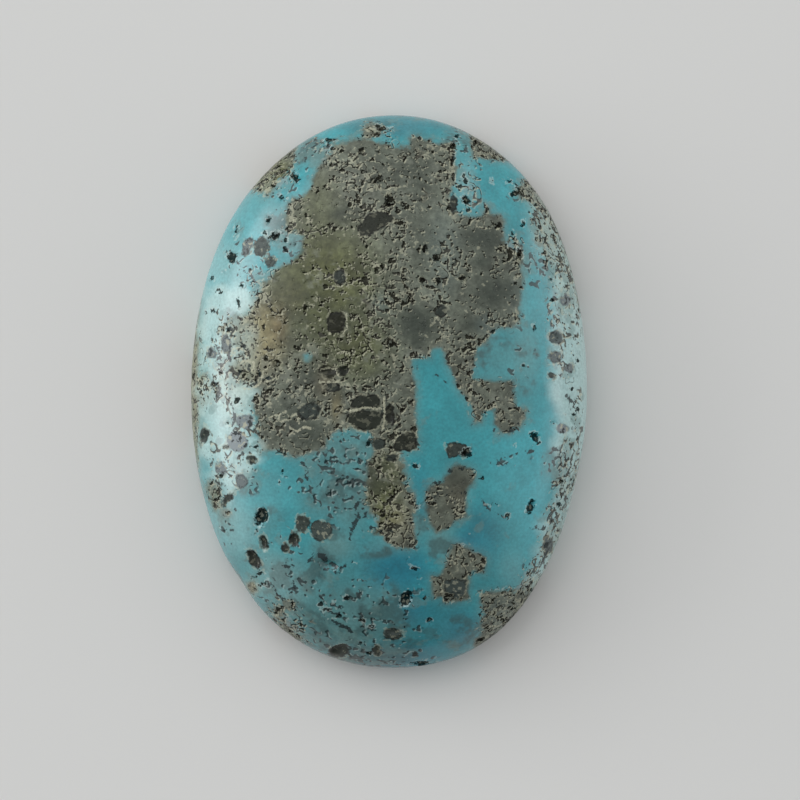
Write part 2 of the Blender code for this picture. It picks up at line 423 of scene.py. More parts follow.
# Open pits and specks; a row gives x, y, width, length, and turn and depth where it has them.
PITS = tuple(Pit(*row) for row in (
    (-0.55, 10.65, 0.45, 0.3, 0, 0.16), (0.05, 9.6, 0.45, 0.6, -15, 0.2),
    (-4.7, 10.75, 0.35, 0.45, 20, 0.16), (3.85, 9.6, 0.4, 0.3, 0, 0.14),
    (-5.7, 7.8, 0.5, 0.35, 30, 0.16), (-7.9, 6.75, 0.4, 0.6, -10, 0.2),
    (6.55, 6.85, 0.3, 0.5, 10, 0.15), (2.4, 6.7, 0.4, 0.3, 20), (1.8, 7.15, 0.2, 0.35, -20),
    (3.65, 5.65, 0.35, 0.2), (2.45, 5.5, 0.18, 0.3, 15), (1.65, 5.6, 0.2, 0.2),
    (0.05, 2.45, 0.35, 0.55, 30, 0.16), (-5.6, 1.4, 0.4, 0.4, 0, 0.16),
    (3.9, -3.05, 0.45, 0.4, 30, 0.18), (7.35, -2.3, 0.35, 0.5, 25, 0.16),
    (7.1, -5.8, 0.35, 0.65, -15, 0.18), (3.0, -10.35, 0.6, 0.35, -20, 0.18),
    (0.85, -10.4, 0.55, 0.8, -30, 0.22), (-6.4, -6.3, 0.6, 0.9, -20, 0.25), (-7.7, 8.0, 0.15, 0.4),
    (-8.35, 6.0, 0.18, 0.18), (-8.9, 5.7, 0.15, 0.15), (-7.45, 5.3, 0.15, 0.15),
    (-8.5, 5.0, 0.3, 0.25), (-8.85, 4.1, 0.2, 0.2), (-9.25, 3.95, 0.15, 0.2),
    (-7.55, 4.45, 0.15, 0.35), (-5.42, 9.72, 0.15, 0.15), (-6.05, 8.65, 0.2, 0.35),
    (-6.25, 8.0, 0.15, 0.15), (-5.2, 7.6, 0.2, 0.2), (-5.15, 7.12, 0.15, 0.2),
    (-4.7, 7.4, 0.15, 0.15), (-3.05, 12.65, 0.35, 0.12), (-3.15, 12.35, 0.3, 0.12, 20),
    (-0.9, 13.1, 0.3, 0.2), (-0.6, 13.35, 0.25, 0.2), (-0.2, 13.25, 0.5, 0.2),
    (-1.45, 12.05, 0.25, 0.3), (-1.75, 11.65, 0.2, 0.2), (-1.6, 11.4, 0.25, 0.15),
    (-1.3, 11.05, 0.25, 0.25), (0.6, 8.45, 0.4, 0.15), (0.75, 9.4, 0.3, 0.2), (1.1, 9.15, 0.2, 0.3),
    (1.6, 9.6, 0.15, 0.25), (3.2, 12.35, 0.3, 0.3), (3.2, 11.6, 0.12, 0.5), (3.4, 12.85, 0.2, 0.15),
    (3.75, 10.8, 0.15, 0.25), (3.5, 10.6, 0.2, 0.15), (3.85, 10.5, 0.2, 0.2),
    (5.2, 10.6, 0.15, 0.15), (6.05, 10.55, 0.3, 0.12), (5.85, 10.35, 0.15, 0.15),
    (6.3, 9.95, 0.3, 0.25), (6.6, 10.15, 0.12, 0.35, 40), (7.35, 9.45, 0.2, 0.2),
    (6.7, 8.5, 0.15, 0.2), (6.15, 7.9, 0.2, 0.15), (7.4, 7.6, 0.2, 0.2), (5.3, 8.4, 0.2, 0.15),
    (5.55, 8.4, 0.15, 0.2), (5.6, 7.15, 0.3, 0.2), (6.35, 6.4, 0.2, 0.15), (4.35, 12.55, 0.2, 0.2),
    (4.6, 12.5, 0.15, 0.2), (4.7, 11.9, 0.2, 0.15), (5.4, 11.75, 0.25, 0.15),
    (5.7, 11.75, 0.15, 0.15), (1.0, 4.9, 0.2, 0.2), (1.7, 4.65, 0.25, 0.15), (-0.3, 6.25, 0.3, 0.3),
    (-0.65, 6.1, 0.15, 0.25), (0.8, 6.1, 0.2, 0.2), (0.75, 5.6, 0.25, 0.15),
    (-6.15, 1.7, 0.2, 0.25), (-5.4, 3.75, 0.15, 0.25), (-5.5, 3.05, 0.15, 0.25),
    (-3.7, 4.6, 0.2, 0.15), (-4.2, 4.2, 0.15, 0.2), (7.3, 3.15, 0.12, 0.2),
    (8.15, 5.65, 0.15, 0.15), (8.2, 4.6, 0.15, 0.15), (9.5, 1.6, 0.12, 0.2),
    (6.75, 1.3, 0.12, 0.12), (9.2, 0.1, 0.15, 0.15), (9.15, -1.15, 0.3, 0.12),
    (9.45, -0.95, 0.15, 0.15), (8.3, -1.55, 0.15, 0.12), (6.3, -2.7, 0.15, 0.12),
    (4.6, -4.35, 0.15, 0.12), (5.15, -5.65, 0.3, 0.1), (5.95, -6.25, 0.2, 0.2),
    (-7.6, -0.45, 0.15, 0.35), (-8.1, -1.6, 0.15, 0.2), (-6.65, -2.8, 0.15, 0.15),
    (-5.3, -4.1, 0.12, 0.25), (-5.45, -4.55, 0.12, 0.12), (-8.4, -4.25, 0.2, 0.15),
    (-6.65, -7.05, 0.2, 0.15), (-6.6, -9.2, 0.35, 0.12, 20), (-6.4, -9.7, 0.35, 0.12, 20),
    (-1.0, -2.6, 0.12, 0.4, -35), (1.3, -3.7, 0.3, 0.15), (1.45, -5.75, 0.12, 0.15),
    (-0.3, -6.2, 0.12, 0.35, -40), (0.0, -6.3, 0.12, 0.35, -40), (-1.8, -8.5, 0.15, 0.12),
    (1.3, -8.85, 0.2, 0.12), (1.45, -9.3, 0.15, 0.12), (0.9, -8.45, 0.15, 0.12),
    (1.8, -10.35, 0.15, 0.15), (-2.1, -10.35, 0.15, 0.12), (-3.3, -10.65, 0.45, 0.12, 10),
    (-3.2, -10.95, 0.4, 0.12, 10), (-2.6, -11.3, 0.45, 0.12, 5), (-1.4, -11.5, 0.3, 0.12),
    (-0.9, -11.75, 0.25, 0.1), (0.85, -11.8, 0.2, 0.1), (2.0, -11.5, 0.3, 0.3),
    (-1.45, -12.65, 0.2, 0.2), (-1.05, -13.15, 0.2, 0.15), (1.6, -13.7, 0.8, 0.2),
    (5.2, -9.9, 0.15, 0.12), (5.5, -9.85, 0.15, 0.12), (5.8, -9.9, 0.15, 0.12),
    (6.1, -10.0, 0.15, 0.12), (5.25, -11.1, 0.15, 0.12), (5.7, -11.5, 0.2, 0.15),
    (4.65, -12.5, 0.25, 0.15), (7.15, -10.0, 0.15, 0.15), (6.35, -10.9, 0.15, 0.2),
    (4.15, -8.0, 0.2, 0.1), (3.6, -7.7, 0.2, 0.1), (4.6, -8.8, 0.15, 0.2), (3.95, -7.15, 0.1, 0.1),
    (8.7, -4.5, 0.2, 0.15), (9.25, -4.5, 0.15, 0.2), (8.5, -5.25, 0.15, 0.15),
    (8.5, -5.65, 0.2, 0.15), (3.95, -2.95, 0.3, 0.25, 30),
))

# Hollows in the relief alone, under grains and lines that are drawn elsewhere; rows as above.
HOLLOWS = tuple(Pit(*row) for row in (
    (2.5, 6.7, 0.55, 0.4, 20, 0.18), (1.85, 7.1, 0.3, 0.5, -20, 0.14),
    (3.75, 5.65, 0.55, 0.35, 0, 0.18), (2.5, 5.4, 0.3, 0.5, 15, 0.15),
    (1.7, 5.55, 0.35, 0.35, 0, 0.14), (-7.0, 0.7, 0.4, 0.8, 40, 0.16),
    (-3.1, 1.0, 0.9, 0.6, 10, 0.2), (-2.2, 1.0, 0.45, 0.5, 0, 0.18),
    (0.05, -1.15, 0.4, 0.85, 5, 0.18), (-2.95, -8.7, 0.9, 0.45, -15, 0.2),
    (-6.3, -7.6, 0.4, 0.7, 10, 0.18), (-6.75, -8.4, 0.4, 0.95, 35, 0.18),
    (-4.75, -7.4, 0.45, 0.65, 0, 0.18), (0.2, -12.05, 0.8, 0.35, 0, 0.16),
    (-2.5, -12.95, 0.9, 0.4, 15, 0.18), (-9.2, -2.3, 0.45, 0.8, -20, 0.16),
    (8.3, 2.7, 0.55, 0.5, 0, 0.14),
))

# Cream veins across the grains and the rock.
VEINS = (
    Line(0.07, ((-3.4, 1.1), (-3.0, 1.2), (-2.65, 1.1), (-2.45, 0.6))),
    Line(0.08, ((-3.5, 0.45), (-2.5, 0.5))),
    Line(0.08, ((-2.3, -1.0), (-1.7, -0.95), (-1.2, -0.8), (-0.35, -0.88))),
    Line(0.08, ((-0.25, -0.3), (-0.22, -1.3), (-0.3, -1.9))),
    Line(0.06, ((-2.1, 3.9), (-2.1, 3.1), (-2.4, 2.85), (-3.0, 2.9))),
    Line(0.06, ((2.4, 3.7), (2.75, 3.2))),
    Line(0.06, ((4.2, 8.2), (4.7, 8.25), (5.1, 8.1))),
    Line(0.07, ((0.25, -5.75), (0.4, -5.95), (0.7, -6.0))),
    Line(0.06, ((3.0, -5.3), (3.5, -5.45), (3.9, -5.3))),
    Line(0.06, ((3.2, -5.9), (3.5, -6.2), (3.85, -6.3))),
    Line(0.07, ((-5.5, -1.2), (-5.2, -1.0), (-4.9, -1.25), (-4.6, -1.1), (-4.5, -1.6))),
    Line(0.07, ((-5.0, -1.8), (-4.6, -2.0), (-4.2, -1.75), (-3.9, -1.9))),
    Line(0.07, ((-7.9, 1.8), (-7.8, 2.15), (-7.45, 2.2), (-7.15, 1.95), (-7.2, 1.55), (-7.5, 1.4))),
    Line(0.08, ((-6.3, 1.0), (-6.36, 0.6), (-6.58, 0.3), (-6.9, 0.12), (-7.3, 0.15))),
    Line(0.08, ((-6.1, 0.5), (-5.6, 0.62))),
    Line(0.08, ((-6.0, -1.3), (-5.6, -1.2), (-5.4, -1.5), (-5.0, -1.4))),
    Line(0.08, ((-7.3, 1.3), (-7.1, 1.55), (-6.8, 1.45), (-6.75, 1.15), (-7.0, 1.0))),
    Line(0.06, ((-2.6, 1.9), (-2.3, 2.0), (-2.0, 1.85), (-1.6, 1.95))),
    Line(0.06, ((-0.35, -1.9), (0.0, -2.0), (0.3, -1.95), (0.45, -2.2))),
)

# Dark broken lines, most of them in turquoise.
CRACKS = (
    Line(0.14, (
        (-6.45, 1.05), (-6.5, 0.7), (-6.65, 0.45), (-6.9, 0.28), (-7.2, 0.3), (-7.45, 0.5),
    )),
    Line(0.12, ((-7.6, 0.7), (-7.45, 1.0), (-7.4, 1.3))),
    Line(0.1, ((-7.0, 1.3), (-6.95, 0.95), (-6.75, 0.7))),
    Line(0.1, ((-8.0, 1.5), (-8.05, 2.0), (-7.85, 2.35), (-7.45, 2.45), (-7.1, 2.15))),
    Line(0.1, ((-8.6, 2.2), (-8.5, 1.6), (-8.65, 1.2))),
    Line(0.1, ((-6.3, 0.6), (-6.0, 0.7), (-5.7, 0.4), (-5.9, 0.2))),
    Line(0.1, ((6.4, -3.1), (7.0, -3.0), (7.3, -3.0))),
    Line(0.08, ((5.8, -3.3), (6.2, -3.2))),
    Line(0.08, ((5.5, -3.75), (5.9, -3.6))),
    Line(0.1, ((7.95, -7.6), (7.8, -8.3))),
    Line(0.12, ((7.1, -6.9), (7.4, -6.8), (7.6, -6.95), (7.9, -6.85))),
    Line(0.12, ((8.9, -0.2), (9.2, -0.5), (9.1, -0.9))),
    Line(0.1, ((8.2, -2.9), (8.6, -3.0), (8.9, -3.3))),
    Line(0.1, ((8.6, -5.0), (8.9, -5.3), (8.8, -5.8))),
    Line(0.1, ((8.0, -8.0), (7.7, -8.6), (7.2, -8.9))),
    Line(0.12, ((5.3, -1.9), (5.7, -2.05), (6.2, -1.95), (6.5, -1.6))),
    Line(0.1, ((2.0, -4.8), (2.3, -4.6), (2.7, -4.5))),
    Line(0.1, ((1.85, -5.2), (2.1, -5.35), (2.5, -5.2))),
    Line(0.1, ((3.0, -4.0), (3.4, -3.75), (3.9, -3.85), (4.2, -4.1))),
    Line(0.08, ((2.8, -5.2), (3.2, -5.0), (3.8, -5.1))),
    Line(0.08, ((3.0, -5.5), (3.5, -5.6), (3.8, -5.4))),
    Line(0.04, ((2.3, 0.85), (2.6, 0.6), (2.9, 0.45))),
    Line(0.05, ((-1.5, -5.3), (-1.35, -5.6), (-1.3, -5.9))),
    Line(0.06, ((4.6, -5.4), (5.0, -5.9), (5.5, -6.1), (5.9, -6.4))),
    Line(0.14, ((-1.5, -5.5), (-1.75, -5.9), (-1.5, -6.3), (-1.85, -6.8), (-1.95, -7.4))),
    Line(0.12, ((-0.9, -6.75), (-0.5, -6.95), (-0.1, -6.9), (0.2, -7.0))),
    Line(0.18, (
        (-4.0, -8.5), (-3.7, -8.2), (-3.3, -8.25), (-3.0, -8.6), (-2.6, -8.85), (-2.2, -8.7),
    )),
    Line(0.14, ((-3.2, -8.9), (-2.8, -9.1), (-2.5, -9.0))),
    Line(0.12, ((-5.1, -8.4), (-5.2, -8.8), (-4.8, -8.7))),
    Line(0.1, ((-3.4, -10.4), (-3.1, -10.7), (-2.7, -10.7), (-2.3, -10.85))),
    Line(0.12, ((-3.1, -11.0), (-2.7, -11.2), (-2.4, -11.1))),
    Line(0.14, ((-2.9, -11.45), (-2.5, -11.7), (-2.1, -11.85), (-1.9, -12.1))),
    Line(0.12, ((-1.5, -11.5), (-1.1, -11.65), (-0.75, -12.0))),
    Line(0.1, ((-4.9, -9.2), (-4.7, -9.7), (-4.9, -10.1))),
    Line(0.1, ((-6.0, -9.6), (-5.6, -10.2), (-5.3, -10.4))),
    Line(0.12, ((-4.3, -3.6), (-4.0, -3.9), (-4.1, -4.3))),
    Line(0.1, ((-3.6, -3.4), (-3.1, -3.6), (-2.6, -3.5))),
    Line(0.1, ((-2.6, -4.4), (-2.2, -4.2), (-1.8, -4.4))),
    Line(0.08, ((-8.6, 2.9), (-8.3, 3.2), (-7.9, 3.1))),
    Line(0.08, ((-7.6, 6.6), (-7.5, 6.1), (-7.0, 5.9), (-6.7, 5.5))),
    Line(0.08, ((-7.9, -0.6), (-7.7, -1.2), (-7.9, -1.9), (-7.6, -2.1))),
    Line(0.1, ((-8.8, 0.6), (-8.5, 0.2), (-8.6, -0.3))),
)

# The chalky white belts inside the left and right rims.
CHALK_AREAS = (
    Outline((
        (-9.2, 5.2), (-8.6, 5.4), (-8.0, 4.9), (-7.3, 4.8), (-6.9, 4.4), (-7.4, 3.9),
        (-7.6, 3.3), (-7.8, 2.2), (-7.75, 1.0), (-7.2, 0.35), (-6.8, -0.1), (-6.85, -2.0),
        (-6.6, -3.2), (-7.2, -3.6), (-7.4, -4.6), (-7.9, -5.2), (-8.6, -4.6), (-9.35, -3.0),
        (-9.5, -1.2), (-9.25, 0.0), (-9.5, 1.2), (-9.5, 3.0), (-9.2, 5.0),
    )),
    Outline((
        (8.1, 6.9), (8.25, 5.5), (8.3, 4.0), (8.2, 2.5), (8.2, 1.2), (8.15, 0.4), (8.2, -0.8),
        (8.5, -1.6), (8.3, -2.6), (8.5, -3.6), (8.5, -4.5), (8.3, -5.3), (8.2, -6.2),
        (7.5, -6.9), (7.7, -7.5), (7.4, -8.0), (7.5, -8.7), (7.2, -9.2), (6.6, -9.9),
        (9.0, -10.4), (10.6, -5.0), (10.6, 0.0), (10.2, 6.0), (8.8, 7.6),
    )),
)

# Soft patches of each zone; a row gives x, y, width, length, turn and strength.
TINTS: dict[Zone, tuple[Tint, ...]] = {
    zone: tuple(Tint(*row) for row in rows)
    for zone, rows in {
        Zone.CHALKY: (
            (-7.2, 8.8, 3.0, 4.0, -25, 0.17), (5.6, -11.2, 2.0, 2.2, 0, 0.1),
            (-9.0, 0.0, 2.2, 12.0, 0, 0.25), (8.3, 7.8, 1.8, 4.4, 20, 0.75),
            (2.75, 7.0, 1.6, 4.6, 0, 0.12), (-0.4, 4.4, 1.0, 1.2, 0, 0.15),
            (4.95, 3.3, 1.2, 1.2, 0, 0.12), (9.6, 1.5, 1.5, 9.0, 0, 0.8),
            (9.6, -4.5, 1.5, 8.0, 0, 0.25), (6.4, -5.6, 3.0, 6.4, 0, 0.07),
            (6.2, -8.9, 1.6, 1.8, 0, 0.12), (-7.2, 2.6, 1.0, 1.4, 0, 0.25),
            (-8.2, 6.1, 2.6, 3.0, 0, 0.4), (-7.8, -6.8, 2.4, 3.4, 20, 0.35),
            (-5.6, -9.6, 2.8, 2.8, 30, 0.2), (-7.2, 1.8, 1.4, 4.0, 0, 0.3),
            (-6.3, -5.0, 3.0, 3.2, 0, 0.1), (7.0, 3.4, 1.8, 6.0, 0, 0.12),
            (3.9, 10.4, 1.0, 2.4, 0, 0.3),
        ),
        # Painted light: lighter turquoise down the right flank, where more light falls.
        Zone.BRIGHT: (
            (7.2, -5.4, 3.0, 8.4, 10, 0.9), (7.0, 5.0, 2.0, 4.0, 0, 0.4),
            (8.4, 0.0, 2.0, 8.0, 0, 0.6),
        ),
        Zone.DEEP: (
            (0.0, -13.4, 6.0, 2.0, 0, 0.9), (0.2, 13.4, 5.0, 1.2, 0, 0.6),
            (0.8, -11.0, 2.2, 1.8, 0, 0.9), (3.8, -12.1, 2.0, 1.8, 0, 0.8),
            (3.8, -7.7, 1.4, 1.4, 0, 0.8), (0.4, -8.9, 3.6, 2.6, 0, 0.95),
            (4.6, -7.2, 2.2, 3.0, 0, 0.6), (1.6, -5.0, 1.0, 3.4, 0, 0.4),
            (2.8, -11.8, 3.2, 3.2, 0, 0.5), (-3.9, 0.95, 0.9, 0.9, 0, 0.4),
        ),
        Zone.MUTED: (
            (-7.2, -4.4, 1.6, 1.6, 0, 0.5), (-4.9, 7.7, 1.6, 1.8, 0, 0.85),
            (7.0, 6.7, 1.4, 1.8, 0, 0.4), (8.3, -3.7, 1.2, 1.6, 0, 0.7),
            (-2.8, -7.7, 2.2, 1.6, 0, 0.9), (-6.0, -8.8, 1.8, 1.8, 0, 0.5),
            (-0.5, -7.8, 1.8, 1.0, 0, 0.5), (1.6, -6.7, 0.9, 1.0, 0, 0.7),
            (-8.2, -6.4, 1.4, 2.0, 0, 0.3), (-2.5, -4.4, 3.6, 4.2, 0, 0.7),
            (-2.0, -2.8, 2.6, 1.2, 0, 0.5), (-1.9, -6.0, 1.8, 2.6, 0, 0.6),
            (2.6, -7.6, 1.6, 1.4, 0, 0.85), (5.6, 1.7, 2.6, 2.2, 0, 0.5),
            (-3.8, 12.0, 2.2, 1.4, 0, 0.9), (-5.4, 8.3, 1.8, 2.6, 0, 0.5),
            (-7.0, -8.6, 3.0, 3.6, 20, 0.35), (-1.8, -12.0, 6.0, 2.8, 0, 0.85),
            (-1.2, -10.5, 3.6, 2.2, 0, 0.65), (-6.2, -6.6, 1.8, 2.2, 0, 0.35),
            (-3.7, -5.6, 2.0, 2.0, 0, 0.35), (-4.8, -9.8, 4.4, 3.4, 0, 0.65),
            (-2.4, -8.6, 3.0, 2.4, 0, 0.3), (-3.0, -11.2, 4.4, 3.2, 0, 0.4),
            (-1.6, -2.9, 3.6, 1.4, 0, 0.5), (3.4, 12.6, 1.2, 1.6, 0, 0.5),
            (3.6, -12.2, 3.0, 2.4, 0, 0.3), (0.4, 13.5, 3.0, 1.2, 0, 0.25),
            (6.9, 1.6, 1.2, 4.0, 0, 0.4), (9.3, 1.5, 2.4, 12.0, 0, 0.2),
        ),
        # Painted shade: darker teal along the top and bottom rims, where the light falls off, and a
        # few patches.
        Zone.SHADED: (
            (-0.9, -13.4, 4.6, 1.2, 0, 0.8), (-3.2, -12.4, 2.4, 1.2, -40, 0.4),
            (-1.7, -5.5, 1.6, 1.8, 0, 0.35), (-3.8, -3.5, 1.8, 1.2, 0, 0.4),
            (-3.9, 12.1, 1.8, 1.2, 0, 0.4), (-1.7, 13.2, 1.2, 0.8, 0, 0.3),
            (-3.0, -11.0, 3.6, 2.0, 0, 0.2),
        ),
        Zone.SPECKLED: (
            (-3.8, 12.0, 2.4, 1.8, 0, 0.9), (-4.9, 9.0, 1.8, 3.8, 0, 0.7),
            (7.7, 6.2, 1.8, 2.4, 0, 0.8), (8.35, -3.8, 1.2, 1.8, 0, 0.85),
            (-7.1, -4.3, 1.8, 1.6, 0, 0.8), (-8.2, -6.6, 1.2, 2.2, 0, 0.8),
            (-2.9, -4.4, 4.4, 4.4, 0, 0.7), (-1.7, -4.2, 2.2, 4.4, 0, 0.9),
            (-0.3, -13.3, 4.4, 1.4, 0, 0.95), (-2.2, -11.4, 8.0, 4.6, 0, 0.75),
            (-5.6, -8.6, 3.4, 3.4, 0, 0.55), (-6.6, 6.7, 3.2, 2.8, 0, 0.75),
            (5.6, 8.6, 4.0, 3.4, 0, 0.35), (3.4, 12.4, 2.6, 2.6, 0, 0.6),
            (6.6, 1.6, 2.0, 4.0, 0, 0.35), (5.6, -3.4, 3.4, 1.0, 0, 0.4),
            (0.4, -4.4, 3.0, 5.4, 0, 0.35),
        ),
        Zone.MIXED: (
            (-8.0, 1.2, 2.3, 4.4, 0, 0.75), (-7.9, -2.6, 2.4, 4.6, 0, 0.6),
            (-6.6, 5.6, 1.8, 1.6, 0, 0.6), (-8.3, 4.2, 1.4, 1.2, 0, 0.4),
            (8.8, 3.6, 1.8, 6.4, 0, 0.7), (9.2, -3.4, 1.2, 2.4, 0, 0.7),
            (8.2, 8.2, 2.0, 4.6, 20, 1.0), (8.6, -5.6, 1.5, 4.6, -15, 0.75),
            (7.4, -9.0, 1.4, 4.0, -30, 0.6), (5.6, -11.4, 2.2, 2.2, 0, 0.5),
            (-0.6, 13.2, 1.8, 1.0, 0, 0.7), (4.0, 10.4, 1.4, 2.6, 0, 0.8),
            (-5.8, 10.8, 2.2, 1.8, 0, 0.7), (-4.8, -1.6, 3.2, 2.0, 0, 0.6),
            (0.6, 10.8, 3.6, 3.0, 0, 0.5), (0.0, -5.2, 1.8, 4.0, 0, 0.9),
            (9.5, -1.2, 0.7, 2.6, 0, 0.6), (-3.2, 12.2, 1.8, 1.4, 0, 0.6),
            (6.2, 7.2, 1.2, 1.4, 0, 0.9), (-1.6, 5.0, 2.6, 2.2, 0, 0.3),
            (-5.0, -11.4, 3.0, 1.6, -45, 0.6),
        ),
        Zone.CALM: (
            (-3.3, 9.3, 2.2, 1.7, 0, 1.0), (-4.9, 5.2, 2.0, 2.2, 0, 1.0),
            (-2.8, 7.1, 2.6, 1.5, 0, 0.9), (-5.7, 2.9, 1.6, 1.6, 0, 0.8),
            (-3.6, 10.9, 1.0, 1.2, 0, 0.8), (-1.8, 12.4, 2.4, 0.7, 0, 0.8),
            (5.6, 0.1, 1.6, 1.2, 0, 0.8), (3.4, -4.5, 1.6, 1.4, 0, 1.0),
            (2.6, -6.2, 1.4, 1.4, 0, 0.8), (2.2, 8.4, 1.6, 1.4, 0, 0.7),
            (3.3, 4.6, 0.9, 2.6, 0, 0.6), (-6.0, -2.3, 1.2, 1.2, 0, 0.6),
            (-0.4, 7.4, 1.4, 1.0, 0, 0.6), (0.8, 0.2, 1.0, 2.0, 0, 0.4),
            (-8.7, -1.3, 1.2, 1.8, 0, 0.9), (-8.6, 5.4, 1.8, 2.6, 0, 0.8),
            (8.5, 0.2, 0.9, 1.0, 0, 0.5), (-7.3, -0.1, 1.0, 1.0, 0, 0.95),
            (-7.3, 1.6, 1.6, 2.2, 0, 0.5),
        ),
        Zone.OLIVE: (
            (-3.2, 5.2, 5.6, 6.8, 0, 0.95), (-1.4, 1.9, 3.2, 3.0, 0, 0.7),
            (-5.8, 10.9, 2.0, 2.0, 0, 1.0), (-9.7, 0.0, 1.4, 11.0, 0, 0.7),
            (-8.8, -5.2, 1.2, 1.8, 0, 0.8), (-3.2, 12.4, 0.8, 0.6, 0, 0.8),
            (-0.2, -5.0, 1.8, 4.2, 0, 0.8), (-3.6, 9.6, 2.2, 3.0, 0, 0.4),
        ),
        Zone.TAN: (
            (-6.3, 2.9, 2.4, 3.6, 0, 0.85), (-7.2, 1.2, 1.8, 2.6, 0, 0.7),
            (-4.9, 4.6, 1.6, 2.0, 0, 0.2), (8.3, 8.2, 1.8, 4.2, 20, 0.55),
            (-6.9, -9.9, 0.8, 0.8, 0, 0.6), (-2.6, -0.7, 0.6, 1.6, 0, 0.7),
            (0.4, -6.6, 1.4, 1.8, 0, 0.35), (-9.7, 1.0, 1.0, 9.0, 0, 0.5),
            (-7.8, 0.8, 2.0, 4.0, 0, 0.6), (8.9, 5.4, 1.2, 3.4, 0, 0.3),
        ),
        Zone.RUST: (
            (-5.45, 3.4, 0.8, 1.6, 0, 0.4), (-3.2, 0.5, 1.2, 1.8, 0, 0.35),
            (-7.9, 6.7, 0.3, 0.3, 0, 0.5), (3.4, -5.0, 1.2, 1.6, 0, 0.25),
        ),
        Zone.CLOUD: (
            (-4.2, 4.2, 3.4, 3.8, 0, 0.3), (-3.8, 0.9, 1.2, 1.8, 0, 0.5),
            (-0.5, -1.1, 1.4, 1.6, 0, 0.5), (1.3, 3.4, 2.2, 1.9, 0, 0.75),
            (1.5, 2.4, 1.0, 0.8, 0, 0.6), (4.6, 7.7, 1.9, 1.1, 0, 0.8),
            (5.3, 5.0, 2.5, 1.9, 0, 0.8), (4.6, 6.5, 1.1, 0.7, 0, 0.7),
            (4.1, 3.4, 1.3, 1.1, 0, 0.6), (-4.3, -2.2, 2.4, 1.6, 0, 0.6),
            (-5.4, -1.2, 1.8, 1.4, 0, 0.35), (-2.4, 3.6, 2.0, 1.8, 0, 0.3),
            (0.6, 11.0, 3.0, 2.4, 0, 0.3), (-0.6, 1.3, 2.6, 2.0, 0, 0.3),
            (-2.4, 8.9, 1.4, 0.9, 0, 0.5), (3.3, -4.5, 1.8, 1.6, 0, 0.6),
            (3.5, -9.9, 1.2, 1.2, 0, 0.5), (-4.2, -0.8, 1.6, 1.2, 0, 0.5),
            (5.0, 7.6, 1.6, 1.4, 0, 0.5), (1.5, 3.3, 1.8, 1.6, 0, 0.4),
            (1.65, 11.2, 1.8, 3.6, 0, 0.35), (-2.75, 1.1, 1.6, 1.6, 0, 0.3),
            (-3.85, -2.2, 1.6, 1.6, 0, 0.4), (-4.9, -0.6, 1.6, 1.6, 0, 0.3),
            (-0.6, -1.1, 1.2, 1.2, 0, 0.9), (-0.5, -4.4, 1.4, 1.8, 0, 0.5),
            (-2.8, 0.0, 1.4, 1.2, 0, 0.4), (1.65, 7.8, 1.6, 4.0, 0, 0.4),
            (-4.9, 3.3, 1.4, 1.4, 0, 0.3), (0.6, 8.9, 1.2, 1.2, 0, 0.3),
            (-0.5, 12.1, 1.8, 1.2, 0, 0.3), (-1.6, 4.4, 1.4, 1.4, 0, 0.35),
            (-4.4, 4.9, 2.2, 2.2, 0, 0.25),
        ),
    }.items()
}


@dataclass(frozen=True)
class Swelling:
    """A soft swelling of the outline: its angle and spread in degrees, and its share of the radius."""

    angle: float
    spread: float
    share: float


@dataclass
class StoneForm:
    """The cut stone's own shape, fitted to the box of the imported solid.

    Lengths are metres. The back edge's rows are the inset from the girdle and the height.
    """

    low: Vector
    high: Vector
    girdle_height: float = 1.2 * MM
    outline_fullness: float = 2.1
    dome_fullness: float = 2.25
    shoulder_fullness: float = 2.0
    back_edge: tuple[tuple[float, float], ...] = (
        (0.0, 1.2 * MM),
        (0.04 * MM, 0.6 * MM),
        (0.15 * MM, 0.24 * MM),
        (0.5 * MM, 0.0),
    )
    swellings: tuple[Swelling, ...] = (
        Swelling(50, 20, 0.019),
        Swelling(112, 20, -0.012),
        Swelling(155, 20, -0.004),
        Swelling(222, 9, 0.004),
        Swelling(232, 4, -0.005),
        Swelling(243, 9, 0.004),
        Swelling(293, 16, 0.018),
        Swelling(332, 14, -0.010),
    )
    middle: Array = field(init=False)
    scale: Array = field(init=False)

    def __post_init__(self) -> None:
        """Finds the move and the scale that bring the swollen outline to the box."""
        samples = 1440
        angle = np.linspace(0, 2 * np.pi, samples, endpoint=False)
        radius = self.raw_radius(angle)
        points = np.stack([radius * np.cos(angle), radius * np.sin(angle)])
        low = points.min(axis=1)
        high = points.max(axis=1)
        box = np.array([self.high.x - self.low.x, self.high.y - self.low.y])
        self.middle = (low + high) / 2
        self.scale = box / (high - low)

    def raw_radius(self, angle: Array) -> Array:
        """Radius of a superellipse, (|x/a|^n + |y/b|^n = 1), times one plus its swellings."""
        half_width = (self.high.x - self.low.x) / 2
        half_length = (self.high.y - self.low.y) / 2
        across = np.abs(np.cos(angle) / half_width) ** self.outline_fullness
        along = np.abs(np.sin(angle) / half_length) ** self.outline_fullness
        radius = (across + along) ** (-1 / self.outline_fullness)
        share = np.ones_like(radius)
        for swelling in self.swellings:
            away = (np.degrees(angle) - swelling.angle + 180) % 360 - 180
            share = share + swelling.share * np.exp(-((away / swelling.spread) ** 2))
        return radius * share

    def plan(self, share: Array, angle: Array) -> tuple[Array, Array]:
        """X and Y at a share of the way from the centre to the outline, for each angle."""
        radius = share * self.raw_radius(angle)
        x = (radius * np.cos(angle) - self.middle[0]) * self.scale[0]
        y = (radius * np.sin(angle) - self.middle[1]) * self.scale[1]
        return x, y

    def dome(self, share: Array) -> Array:
        """Height over the back: the girdle's, plus the rest times (1 - share^n)^(1/m)."""
        fall = np.clip(1 - share**self.dome_fullness, 0, 1)
        rise = self.high.z - self.girdle_height
        return self.girdle_height + rise * fall ** (1 / self.shoulder_fullness)


